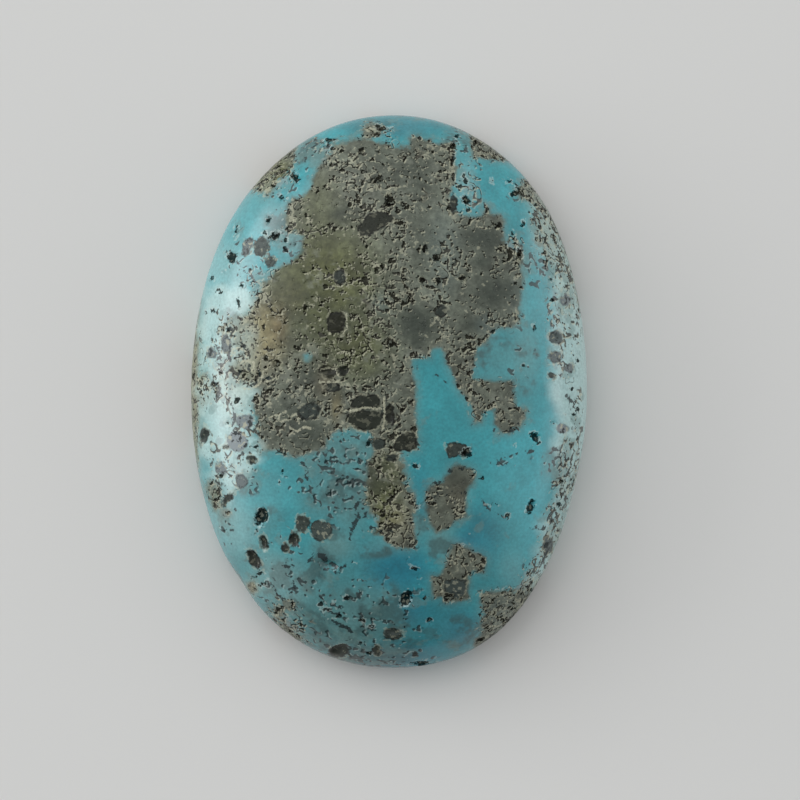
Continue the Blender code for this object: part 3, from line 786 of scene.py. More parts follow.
def square_to_rings(u: Array, v: Array) -> tuple[Array, Array]:
    """Turns a square from -1 to 1 into concentric rings.

    The larger of |u| and |v| is the share of the way out, and the ratio of the smaller to the
    larger, times 45 degrees, is the angle from that side's axis.

    Args:
        u: Places across the square.
        v: Places up the square.

    Returns:
        The share of the way out, and the angle.
    """
    beside = np.abs(u) >= np.abs(v)
    signed = np.where(beside, u, v)
    other = np.where(beside, v, u)
    lean = np.pi / 4 * other / np.where(signed == 0, 1, signed)
    angle = np.where(beside, lean, np.pi / 2 - lean) + np.where(signed < 0, np.pi, 0)
    return np.abs(signed), angle


def grid_square(cells: int) -> tuple[Array, Array, Array, Array]:
    """A square grid from -1 to 1.

    Args:
        cells: Cells along a side.

    Returns:
        u and v of the points row by row, the cells' corners anticlockwise, and the border's points
        in order, anticlockwise.
    """
    side = np.linspace(-1, 1, cells + 1)
    u, v = (part.ravel() for part in np.meshgrid(side, side))
    index = np.arange((cells + 1) ** 2).reshape(cells + 1, cells + 1)
    quads = np.stack([index[:-1, :-1], index[:-1, 1:], index[1:, 1:], index[1:, :-1]], axis=-1)
    border = np.concatenate([index[0, :-1], index[:-1, -1], index[-1, :0:-1], index[:0:-1, 0]])
    return u, v, quads.reshape(-1, 4), border


@dataclass
class Cabochon:
    """The whole polished stone as one closed surface: face, girdle, back edge and flat back.

    The back's rings are insets in metres, and the relief, the grit, the edges, the margin and the
    depth of an absent mark are millimetres. A point's below runs from 0 on the face to 1 in the
    middle of the back, and the two fadings are where marks and relief fade out on the way.
    """

    form: StoneForm
    face_cells: int = 280
    back_cells: int = 70
    edge_rings: int = 10
    rim_crowding: tuple[float, float] = (1.25, 1.6)
    back_rings: tuple[float, float] = (1.0 * MM, 1.9 * MM)
    edge_below: float = 0.4
    ring_below: tuple[float, float] = (0.55, 0.8)
    back_drift: tuple[float, float] = (1.1, -1.6)
    back_warp: float = 1.3
    back_warp_size: float = 3.5
    warp_seeds: tuple[int, int] = (11, 12)
    rock_sunk: float = 0.018
    rock_rough: float = 0.014
    rock_grit: tuple[float, float] = (0.32, 0.16)
    pit_share: float = 0.35
    absent: float = -1.0
    chalk_strength: float = 0.85
    chalk_softness: float = 0.45
    rock_margin: float = 0.3
    sunk_edge: tuple[float, float] = (-0.05, 0.15)
    pitted_edge: tuple[float, float] = (-0.1, 0.1)
    pattern_fading: tuple[float, float] = (0.1, 0.5)
    relief_fading: tuple[float, float] = (0.0, 0.04)
    crease: float = math.radians(30)
    points: Array = field(init=False)
    below: Array = field(init=False)

    def build(self) -> bpy.types.Object:
        """Makes the mesh, sinks its pits and writes its painted fields.

        Returns:
            The stone's object, linked to the scene.
        """
        faces = self.lay_surface()
        x, y = self.pattern_places()
        fields = self.paint(x, y)
        self.sink(x, y, fields)
        mesh = bpy.data.meshes.new("polished_turquoise_stone")
        mesh.from_pydata(self.points.tolist(), [], [f for part in faces for f in part.tolist()])
        for zone, values in fields.items():
            layer = mesh.attributes.new(zone.value, "FLOAT", "POINT")
            layer.data.foreach_set("value", values.astype(np.float32))
        mesh.shade_smooth()
        mesh.set_sharp_from_angle(angle=self.crease)
        stone = bpy.data.objects.new("polished_turquoise_stone", mesh)
        bpy.context.scene.collection.objects.link(stone)
        return stone

    def lay_surface(self) -> list[Array]:
        """Lays the points of the face, the edge's rings and the back, one after the other.

        Returns:
            Arrays of faces, each facing outwards.
        """
        u, v, quads, border = grid_square(self.face_cells)
        out, angle = square_to_rings(u, v)
        inner, outer = self.rim_crowding
        share = 1 - (1 - out**inner) ** outer
        x, y = self.form.plan(share, angle)
        parts = [np.stack([x, y, self.form.dome(share)], axis=1)]
        below = [np.zeros(len(x))]
        faces = [quads]
        girdle = parts[0][border]
        ring = border
        count = len(x)

        insets, heights = np.array(self.form.back_edge).T
        steps = np.linspace(0, len(insets) - 1, self.edge_rings + 1)[1:]
        rows = np.arange(len(insets))
        for number, step in enumerate(steps, 1):
            inset = np.interp(step, rows, insets)
            parts.append(self.ring(girdle, inset, np.interp(step, rows, heights)))
            below.append(np.full(len(girdle), self.edge_below * number / self.edge_rings))
            lower = count + np.arange(len(ring))
            faces.append(
                np.stack([ring, lower, np.roll(lower, -1), np.roll(ring, -1)], axis=1)
            )
            ring = lower
            count += len(lower)

        for level, (inset, depth) in enumerate(zip(self.back_rings, self.ring_below), 1):
            kept = girdle[:: 2**level]
            parts.append(self.ring(kept, inset, 0.0))
            below.append(np.full(len(kept), depth))
            lower = count + np.arange(len(kept))
            faces.extend(self.halving(ring, lower))
            ring = lower
            count += len(lower)

        u, v, quads, border = grid_square(self.back_cells)
        out, angle = square_to_rings(u, v)
        x, y = self.form.plan(out, angle)
        rim = np.hypot(*self.form.plan(np.ones_like(angle), angle))
        shrink = 1 - self.back_rings[-1] / rim
        flat = np.stack([x * shrink, y * shrink, np.zeros_like(x)], axis=1)
        index = count + np.arange(len(flat))
        index[border] = ring
        inside = np.ones(len(flat), bool)
        inside[border] = False
        index[inside] = count + np.arange(inside.sum())
        parts.append(flat[inside])
        below.append(np.full(inside.sum(), 1.0))
        faces.append(index[quads][:, ::-1])
        self.points = np.concatenate(parts)
        self.below = np.concatenate(below)
        return faces

    @staticmethod
    def ring(girdle: Array, inset: float, height: float) -> Array:
        """The girdle's points pulled in towards the middle by the inset, at a height."""
        radius = np.hypot(girdle[:, 0], girdle[:, 1])
        pulled = girdle[:, :2] * (1 - inset / radius)[:, None]
        return np.column_stack([pulled, np.full(len(girdle), height)])

    @staticmethod
    def halving(outer: Array, inner: Array) -> list[Array]:
        """Three triangles for each pair of steps on a ring that meets one step on the next ring."""
        first = outer[0::2]
        middle = outer[1::2]
        last = np.roll(first, -1)
        after = np.roll(inner, -1)
        return [
            np.stack([first, inner, middle], axis=1),
            np.stack([middle, inner, after], axis=1),
            np.stack([middle, after, last], axis=1),
        ]

    def pattern_places(self) -> tuple[Array, Array]:
        """Where each point reads the face's pattern, in mm.

        The face reads its own place. Round the edge and across the back the place drifts and
        wanders more and more, as the rock changes through the stone.
        """
        x = self.points[:, 0] / MM
        y = self.points[:, 1] / MM
        wander_x, wander_y = (
            lattice_noise(x, y, self.back_warp_size, seed) * self.back_warp
            for seed in self.warp_seeds
        )
        return (
            x + self.below * (self.back_drift[0] + wander_x),
            y + self.below * (self.back_drift[1] + wander_y),
        )

    def paint(self, x: Array, y: Array) -> dict[Zone, Array]:
        """Works out every painted field at the pattern's places.

        Args:
            x: Places across the stone, in mm.
            y: Places along the stone, in mm.

        Returns:
            One array of values for each zone: depths in mm, tones and strengths from 0 to 1.
        """
        rock, _ = deepest(HOST_ROCK, x, y)
        window, _ = deepest(WINDOWS, x, y)
        grain, which = deepest(GRAINS, x, y)
        tones = np.array([mark.tone for mark in GRAINS])
        on_back = ease(self.below, *self.pattern_fading)
        fields = {
            Zone.ROCK: np.minimum(rock, -window),
            Zone.GRAIN: grain * (1 - on_back) + self.absent * on_back,
            Zone.GRAIN_TONE: tones[which],
        }
        for zone, marks in ((Zone.PIT, PITS), (Zone.VEIN, VEINS), (Zone.CRACK, CRACKS)):
            depth, _ = deepest(marks, x, y)
            fields[zone] = depth * (1 - on_back) + self.absent * on_back
        for zone, tints in TINTS.items():
            clear = np.ones_like(x)
            for tint in tints:
                clear = clear * (1 - tint.weight(x, y))
            fields[zone] = 1 - clear
        chalk, _ = deepest(CHALK_AREAS, x, y)
        left = ease(-x, -1.0, 1.0)
        ragged = 0.5 * lattice_noise(x, y, 0.9, 31) + 0.25 * lattice_noise(x, y, 0.35, 32)
        chalk = chalk + ragged * (0.4 + 0.6 * left)
        share = self.chalk_strength * ease(chalk, -self.chalk_softness, self.chalk_softness)
        fields[Zone.CHALKY] = 1 - (1 - fields[Zone.CHALKY]) * (1 - share)
        fields[Zone.MIXED] = fields[Zone.MIXED] * (1 - 0.8 * fields[Zone.CALM])
        fields[Zone.EDGE] = np.exp(-((fields[Zone.ROCK] / self.rock_margin) ** 2))
        in_rock = ease(fields[Zone.ROCK], *self.pitted_edge)
        spread = 0.9 * fields[Zone.MIXED] + 0.25 * fields[Zone.EDGE]
        fields[Zone.PITTED] = np.clip(in_rock * (1 - 0.7 * fields[Zone.CALM]) + spread, 0, 1)
        return fields

    def sink(self, x: Array, y: Array, fields: dict[Zone, Array]) -> None:
        """Sinks the softer rock, roughens it and opens the pits, square to the smooth surface.

        A pit's bowl is its depth times the square root of one less the reach squared.
        """
        on_face = 1 - ease(self.below, *self.relief_fading)
        in_rock = ease(fields[Zone.ROCK], *self.sunk_edge)
        coarse, fine = self.rock_grit
        rough = lattice_noise(x, y, coarse, 21) + 0.6 * lattice_noise(x, y, fine, 22)
        sunk = in_rock * (self.rock_sunk + self.rock_rough * rough)
        for pit in PITS + HOLLOWS:
            deep = pit.deep or self.pit_share * min(pit.width, pit.length)
            bowl = np.sqrt(np.clip(1 - pit.reach(x, y) ** 2, 0, 1))
            sunk = np.maximum(sunk, sunk * (1 - bowl) + bowl * deep)
        step = 1e-4
        out = np.hypot(self.points[:, 0], self.points[:, 1])
        angle = np.arctan2(self.points[:, 1], self.points[:, 0])
        rim = np.hypot(*self.form.plan(np.ones_like(angle), angle))
        share = np.clip(out / rim, 0, 1 - step)
        slope = (self.form.dome(share + step) - self.form.dome(share)) / (step * rim)
        normal = np.stack([-slope * np.cos(angle), -slope * np.sin(angle), np.ones_like(slope)])
        normal = (normal / np.linalg.norm(normal, axis=0)).T
        self.points = self.points - normal * (sunk * on_face * MM)[:, None]

    def dress(self, stone: bpy.types.Object, finish: "StoneFinish") -> None:
        """Gives the stone its finish and ties it to the frame."""
        stone.data.materials.append(finish.material())
        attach(stone, "root")
        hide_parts(NODE)


@dataclass(frozen=True)
class Coat:
    """A hue laid wherever a zone is strong."""

    hue: Hue
    zone: Zone
    strength: float = 1.0


@dataclass(frozen=True)
class Mottle:
    """Lighter and darker patches: how far apart in mm, and how strong.

    A patch is darkest where its noise is at the first of the levels, and lightest at the second.
    """

    size: float
    contrast: float
    seed: float
    detail: float = 2.0
    levels: tuple[float, float] = (0.3, 0.7)


@dataclass(frozen=True)
class Band:
    """A hue laid where a noise lies between two levels; a lit band copies a dark one, moved."""

    hue: Hue
    low: float
    high: float
    strength: float
    # A lit band is a painted highlight: a pale copy of a dark band, moved to one side.
    lit: bool = False


@dataclass(frozen=True)
class Marks:
    """Small marks cut out of one noise whose swells lie about a size in mm apart.

    A band above a level is a fleck and a narrow band is a curly line. A lit band is a painted
    highlight: it lies to the lower right by the lean, in mm, so that a dark one laid over it
    keeps a painted bright crescent on one side. Each crowd raises the noise by an amount where its
    zone is strong, and the cluster is how far a wider noise sways it. Breaks cut the marks into
    pieces of about that size in mm, where another noise passes the gaps' levels. With a zone named,
    the marks grow thinner as it weakens, and they come in between the two values of its hold.
    """

    size: float
    seed: float
    bands: tuple[Band, ...]
    detail: float = 2.0
    soft: float = 0.022
    cluster: float = 0.0
    crowds: tuple[tuple[Zone, float], ...] = ()
    within: Zone | None = None
    breaks: float = 0.0
    gaps: tuple[float, float] = (0.5, 0.55)
    hold: tuple[float, float] = (0.04, 0.3)
    thinning: float = 0.13
    lean: tuple[float, float] = (0.06, -0.06)


Layer = Coat | Mottle | Marks
# A band's upper level that no noise reaches.
EVERYTHING = 9.0

# Compact turquoise takes an even, waxy polish; it pales where it turns chalky near the rim.
TURQUOISE_LAYERS: tuple[Layer, ...] = (
    # Painted light: a lighter turquoise down the right flank.
    Coat(Hue.BRIGHT_BLUE, Zone.BRIGHT, 0.9),
    Coat(Hue.DEEP_BLUE, Zone.DEEP, 0.9),
    Coat(Hue.GREY_TEAL, Zone.MUTED, 0.75),
    Coat(Hue.GREY_TEAL, Zone.EDGE, 0.35),
    # Painted shade: darker teal along the top and bottom rims, where the light falls off.
    Coat(Hue.SHADED_TEAL, Zone.SHADED, 0.9),
    Marks(
        1.3, 27.5, (Band(Hue.SHADED_TEAL, 0.48, EVERYTHING, 0.75),), detail=3.0, soft=0.07,
        within=Zone.MUTED,
    ),
    Mottle(2.2, 0.14, 3.1),
    Mottle(0.6, 0.08, 5.7),
    Coat(Hue.CHALK, Zone.CHALKY, 0.95),
    Coat(Hue.CREAM, Zone.TAN, 0.5),
    Marks(
        1.1, 8.2, (Band(Hue.GREY_TEAL, 0.66, EVERYTHING, 0.5),), detail=3.0, soft=0.06,
        crowds=((Zone.SPECKLED, 0.12), (Zone.MIXED, 0.2), (Zone.EDGE, 0.06)),
    ),
    Marks(
        0.8, 21.5, (Band(Hue.SMUDGE, 0.56, EVERYTHING, 0.5),), soft=0.05, cluster=0.2,
        within=Zone.MIXED,
    ),
    Marks(
        0.38, 9.4,
        (
            # Painted highlight: a pale crescent beside each dark fleck.
            Band(Hue.PALE_FLECK, 0.62, EVERYTHING, 0.3, lit=True),
            Band(Hue.DARK_TEAL, 0.61, EVERYTHING, 0.85),
        ),
        detail=1.5, cluster=0.4, within=Zone.SPECKLED,
    ),
    Marks(
        0.75, 23.5,
        (
            # Painted highlight: a pale crescent beside each dark curl.
            Band(Hue.PALE_FLECK, 0.46, 0.54, 0.25, lit=True),
            Band(Hue.DARK_TEAL, 0.455, 0.545, 0.85),
        ),
        detail=1.5, soft=0.015, cluster=0.3, within=Zone.SPECKLED, breaks=0.5,
    ),
)

# The host rock is a softer, duller tuff of cemented grains, so the polish leaves it fine-pitted.
ROCK_LAYERS: tuple[Layer, ...] = (
    Coat(Hue.OLIVE, Zone.OLIVE, 0.95),
    Coat(Hue.TAN, Zone.TAN, 0.8),
    Coat(Hue.RUST, Zone.RUST, 0.7),
    Mottle(1.5, 0.28, 1.3),
    Mottle(0.45, 0.28, 2.4),
    Mottle(0.22, 0.16, 7.7),
    Coat(Hue.CLOUD, Zone.CLOUD, 0.9),
    Marks(
        0.8, 4.4, (Band(Hue.LIGHT_ROCK, 0.58, EVERYTHING, 0.4),), detail=3.0, soft=0.07,
        crowds=((Zone.CLOUD, -0.15), (Zone.CALM, -0.1), (Zone.MIXED, 0.06)),
    ),
    Coat(Hue.CHALK, Zone.CHALKY, 0.75),
)

# Fine pitting follows the rock and spreads into the turquoise where the two are mixed.
PITTING_LAYERS: tuple[Layer, ...] = (
    Marks(
        0.34, 19.5, (Band(Hue.CREAM, 0.62, EVERYTHING, 0.4),), soft=0.05, cluster=0.3,
        crowds=((Zone.CLOUD, -0.12), (Zone.CALM, -0.07), (Zone.MIXED, 0.03)), within=Zone.PITTED,
    ),
    Marks(
        0.56, 17.5,
        # Painted highlight: a cream crescent beside each dark curl.
        (Band(Hue.CREAM, 0.45, 0.54, 0.6, lit=True), Band(Hue.DARK_FLECK, 0.445, 0.54, 0.88)),
        detail=1.2, soft=0.015, cluster=0.35, within=Zone.MIXED, breaks=0.9,
    ),
    Marks(
        0.5, 14.3,
        # Painted highlight: a cream crescent beside each dark curl.
        (Band(Hue.CREAM, 0.475, 0.52, 0.45, lit=True), Band(Hue.DARK_FLECK, 0.47, 0.52, 0.9)),
        detail=1.2, soft=0.015, cluster=0.4, crowds=((Zone.CLOUD, -0.2), (Zone.CALM, -0.1)),
        within=Zone.PITTED, breaks=0.6,
    ),
    Marks(
        0.38, 11.8,
        (
            # Painted highlight: a cream crescent beside each dark fleck.
            Band(Hue.CREAM, 0.615, EVERYTHING, 0.55, lit=True),
            Band(Hue.DARK_FLECK, 0.605, EVERYTHING, 0.92),
        ),
        cluster=0.35, crowds=((Zone.CLOUD, -0.2), (Zone.CALM, -0.08), (Zone.MIXED, 0.03)),
        within=Zone.PITTED,
    ),
    Marks(
        0.22, 12.6,
        (
            # Painted highlight: a cream crescent beside each dark fleck.
            Band(Hue.CREAM, 0.62, EVERYTHING, 0.45, lit=True),
            Band(Hue.DARK_FLECK, 0.612, EVERYTHING, 0.87),
        ),
        detail=1.2, cluster=0.3, crowds=((Zone.CLOUD, -0.15), (Zone.CALM, -0.05)),
        within=Zone.PITTED, lean=(0.04, -0.04),
    ),
    Mottle(0.14, 0.1, 6.6, 1.0),
)


@dataclass(frozen=True)
class StoneFinish:
    """Turquoise in tuff host rock, cut, sanded and polished on a soft lap.

    The turquoise has a waxy lustre, the rock a duller one, and the pits are raw. An edge, a rim, a
    ring or a wall is a pair of depths inside its mark, in mm, between which it comes in, and the
    leaving pair says where a grain's ring ends. A cover is how much of what lies under it a mark
    hides. Matt greys are the grey levels between which a dark fleck loses its gloss.
    """

    name: str = "turquoise in host rock, lapped and polished"
    refraction: float = 1.61
    turquoise_roughness: float = 0.22
    rock_roughness: float = 0.38
    pit_roughness: float = 0.85
    turquoise_gloss: float = 0.5
    rock_gloss: float = 0.22
    grain_gloss: float = 0.15
    edge_wobble: tuple[tuple[float, float], ...] = ((0.9, 0.7), (0.25, 0.35))
    rock_edge: tuple[float, float] = (-0.16, 0.14)
    grain_edge: tuple[float, float] = (-0.06, 0.06)
    grain_rim: tuple[float, float] = (-0.12, -0.06)
    grain_ring: tuple[float, float] = (-0.04, 0.0)
    ring_leaving: tuple[float, float] = (0.1, 0.06)
    line_edge: tuple[float, float] = (-0.03, 0.02)
    pit_edge: tuple[float, float] = (-0.03, 0.03)
    pit_rim: tuple[float, float] = (-0.12, -0.04)
    pit_wall_glint: tuple[float, float] = (0.04, 0.1)
    matt_greys: tuple[float, float] = (0.045, 0.025)
    grain_rim_cover: float = 0.3
    vein_cover: float = 0.65
    line_cover: float = 0.9
    pit_rim_cover: float = 0.4
    pit_cover: float = 0.92
    pit_wall_glint_cover: float = 0.7
    rock_relief: float = 0.03 * MM
    polish_relief: float = 0.002 * MM

    def material(self) -> bpy.types.Material:
        """Builds the finish as one material.

        Returns:
            The material, with its colours, lustre and relief read from the painted fields.
        """
        made = bpy.data.materials.new(self.name)
        made.use_nodes = True
        board = Board(made.node_tree)
        board.read_places()
        add = board.add
        mixed = add(Kind.FIELD, attribute_name=Zone.MIXED.value)
        wobble = self.wander(board, self.edge_wobble, 20.0)
        wobble = add(Kind.PRODUCT, wobble, add(Kind.SUM, add(Kind.PRODUCT, mixed, 2.4), 0.6))
        inside = add(Kind.SUM, add(Kind.FIELD, attribute_name=Zone.ROCK.value), wobble)
        rock = add(Kind.STEP, inside, *self.rock_edge)
        turquoise = board.paint(linear(Hue.TURQUOISE), TURQUOISE_LAYERS)
        ground = board.paint(linear(Hue.ROCK), ROCK_LAYERS)
        colour = add(Kind.COAT, turquoise, ground, rock)
        colour = board.paint(colour, PITTING_LAYERS)
        matt = add(Kind.STEP, add(Kind.GREY, colour), *self.matt_greys)
        colour, grain = self.lay_grains(board, colour)
        colour, pit = self.lay_lines_and_pits(board, colour, rock)
        lustre = add(Kind.BLEND, self.turquoise_roughness, self.rock_roughness, rock)
        gloss = add(Kind.BLEND, self.turquoise_gloss, self.rock_gloss, rock)
        gloss = add(Kind.BLEND, gloss, 0.0, matt)
        gloss = add(Kind.BLEND, gloss, self.grain_gloss, grain)
        surface = board.tree.nodes["Principled BSDF"]
        surface.inputs["IOR"].default_value = self.refraction
        surface.inputs["Metallic"].default_value = 0.0
        for name, value in (
            ("Base Color", colour),
            ("Roughness", add(Kind.BLEND, lustre, self.pit_roughness, pit)),
            ("Specular IOR Level", add(Kind.BLEND, gloss, 0.0, pit)),
            ("Normal", self.relief(board, rock)),
        ):
            board.tree.links.new(value, surface.inputs[name])
        return made

    def wander(
        self, board: "Board", noises: tuple[tuple[float, float], ...], seed: float
    ) -> Socket:
        """A wandering distance in mm, about zero: the sum of noises of a size and a reach in mm."""
        total: Socket | float = 0.0
        for number, (size, reach) in enumerate(noises):
            noise = board.swells(size, seed=seed + number, detail=2.0)
            away = board.add(Kind.SUM, noise, -0.5)
            total = board.add(Kind.SUM, total, board.add(Kind.PRODUCT, away, reach))
        return total

    def lay_grains(self, board: "Board", colour: Socket) -> tuple[Socket, Socket]:
        """Lays the grains in their own tones, flecked inside, with broken dark and pale outlines.

        Returns:
            The colour, and how much of each place is grain.
        """
        add = board.add
        ragged = self.wander(board, ((0.5, 0.35), (0.15, 0.18)), 31.0)
        depth = add(Kind.SUM, add(Kind.FIELD, attribute_name=Zone.GRAIN.value), ragged)
        tone = add(Kind.FIELD, attribute_name=Zone.GRAIN_TONE.value)
        fill = add(Kind.COAT, linear(Hue.GRAIN_BLACK), linear(Hue.GRAIN_GREY), tone)
        fill = add(Kind.COAT, fill, linear(Hue.GRAIN_PALE), add(Kind.SUM, tone, -1.0))
        speck = board.swells(0.28, seed=33.0, detail=2.0)
        light = add(Kind.SUM, add(Kind.PRODUCT, tone, 0.35), 0.08)
        light = add(Kind.PRODUCT, add(Kind.STEP, speck, 0.57, 0.62), light)
        dark = add(Kind.SUM, add(Kind.PRODUCT, tone, 0.4), 0.1)
        dark = add(Kind.PRODUCT, add(Kind.STEP, speck, 0.44, 0.4), dark)
        fill = add(Kind.COAT, fill, linear(Hue.CREAM), light)
        fill = add(Kind.COAT, fill, linear(Hue.DARK_FLECK), dark)
        broken = board.swells(0.5, seed=35.0, detail=1.0)
        rim = add(Kind.STEP, depth, *self.grain_rim)
        rim = add(Kind.PRODUCT, rim, add(Kind.STEP, broken, 0.5, 0.54))
        colour = add(
            Kind.COAT, colour, linear(Hue.CREAM), add(Kind.PRODUCT, rim, self.grain_rim_cover)
        )
        body = add(Kind.STEP, depth, *self.grain_edge)
        colour = add(Kind.COAT, colour, fill, body)
        ring = add(Kind.STEP, depth, *self.grain_ring)
        ring = add(Kind.PRODUCT, ring, add(Kind.STEP, depth, *self.ring_leaving))
        ring = add(Kind.PRODUCT, ring, add(Kind.STEP, broken, 0.52, 0.48))
        ring = add(Kind.PRODUCT, ring, add(Kind.RANGE, tone, 0.0, 2.0, 0.8, 0.1))
        colour = add(Kind.COAT, colour, linear(Hue.DARK_FLECK), ring)
        return colour, body

    def lay_lines_and_pits(
        self, board: "Board", colour: Socket, rock: Socket
    ) -> tuple[Socket, Socket]:
        """Lays the cream veins, the broken dark lines and the pits, whose far walls catch light.

        Returns:
            The colour, and how much of each place is pit.
        """
        add = board.add
        fine = self.wander(board, ((0.14, 0.28),), 41.0)
        broad = add(Kind.SUM, fine, self.wander(board, ((0.4, 0.45),), 47.0))
        vein = add(Kind.SUM, add(Kind.FIELD, attribute_name=Zone.VEIN.value), fine)
        crack = add(Kind.SUM, add(Kind.FIELD, attribute_name=Zone.CRACK.value), broad)
        depth = add(Kind.SUM, add(Kind.FIELD, attribute_name=Zone.PIT.value), broad)
        vein = add(Kind.STEP, vein, *self.line_edge)
        broken = board.swells(0.35, seed=43.0, detail=1.0)
        crack = add(Kind.STEP, crack, *self.line_edge)
        crack = add(Kind.PRODUCT, crack, add(Kind.STEP, broken, 0.4, 0.46))
        rim = add(Kind.STEP, depth, *self.pit_rim)
        rim = add(Kind.PRODUCT, rim, add(Kind.STEP, broken, 0.5, 0.58))
        # Painted glints: pale flecks laid on the pits' walls.
        wall = add(Kind.STEP, board.swells(0.2, seed=45.0, detail=1.0), 0.55, 0.62)
        wall = add(Kind.PRODUCT, add(Kind.STEP, depth, *self.pit_wall_glint), wall)
        pit = add(Kind.STEP, depth, *self.pit_edge)
        edge = add(Kind.COAT, linear(Hue.PALE_FLECK), linear(Hue.CREAM), rock)
        for share, hue, cover in (
            (vein, linear(Hue.CREAM), self.vein_cover),
            (crack, linear(Hue.DARK_TEAL), self.line_cover),
            (rim, edge, self.pit_rim_cover),
            # The pits laid near-black: dirt in them, and painted shade.
            (pit, linear(Hue.PIT), self.pit_cover),
            # Painted glints on the pits' walls.
            (wall, linear(Hue.LIGHT_ROCK), self.pit_wall_glint_cover),
        ):
            colour = add(Kind.COAT, colour, hue, add(Kind.PRODUCT, share, cover))
        return colour, pit

    def relief(self, board: "Board", rock: Socket) -> Socket:
        """Fine relief: rough in the rock, sunk at its dark flecks, nearly smooth elsewhere."""
        fleck = board.swells(0.38, seed=11.8, detail=2.0)
        fleck = board.add(Kind.STEP, fleck, 0.66, 0.6)
        height = board.add(Kind.SUM, board.swells(0.25, seed=51.0, detail=2.0), fleck)
        rough = board.add(Kind.BUMP, rock, self.rock_relief, height)
        polish = board.swells(0.7, seed=52.0, detail=1.0)
        return board.add(Kind.BUMP, 1.0, self.polish_relief, polish, rough)


@dataclass(frozen=True)
class Recipe:
    """How a kind of shader node is set up; its inputs are filled in the order listed."""

    name: str
    inputs: tuple[int | str, ...]
    output: int | str = 0
    settings: tuple[tuple[str, str], ...] = ()


class Kind(Enum):
    """The kinds of shader node that the finish and the sky are put together from."""

    OWN_PLACE = Recipe("ShaderNodeTexCoord", (), "Object")
    DIRECTION = Recipe("ShaderNodeTexCoord", (), "Generated")
    SCALED = Recipe("ShaderNodeMapping", ("Vector", "Scale"))
    MOVED = Recipe("ShaderNodeVectorMath", (0, 1), 0, (("operation", "ADD"),))
    BRIGHTER = Recipe("ShaderNodeVectorMath", (0, 3), 0, (("operation", "SCALE"),))
    ALONG = Recipe("ShaderNodeSeparateXYZ", (0,), "Y")
    UPWARD = Recipe("ShaderNodeSeparateXYZ", (0,), "Z")
    NOISE = Recipe("ShaderNodeTexNoise", ("Vector", "Scale", "Detail", "Roughness"))
    FIELD = Recipe("ShaderNodeAttribute", (), "Fac")
    RANGE = Recipe("ShaderNodeMapRange", ("Value", "From Min", "From Max", "To Min", "To Max"))
    STEP = Recipe(
        "ShaderNodeMapRange",
        ("Value", "From Min", "From Max"),
        0,
        (("interpolation_type", "SMOOTHSTEP"),),
    )
    GREY = Recipe("ShaderNodeRGBToBW", (0,))
    SUM = Recipe("ShaderNodeMath", (0, 1), 0, (("operation", "ADD"),))
    PRODUCT = Recipe("ShaderNodeMath", (0, 1), 0, (("operation", "MULTIPLY"),))
    BLEND = Recipe("ShaderNodeMix", (2, 3, 0))
    COAT = Recipe("ShaderNodeMix", (6, 7, 0), 2, (("data_type", "RGBA"),))
    BUMP = Recipe("ShaderNodeBump", ("Strength", "Distance", "Height", "Normal"))


Value = Socket | float | Sequence[float]


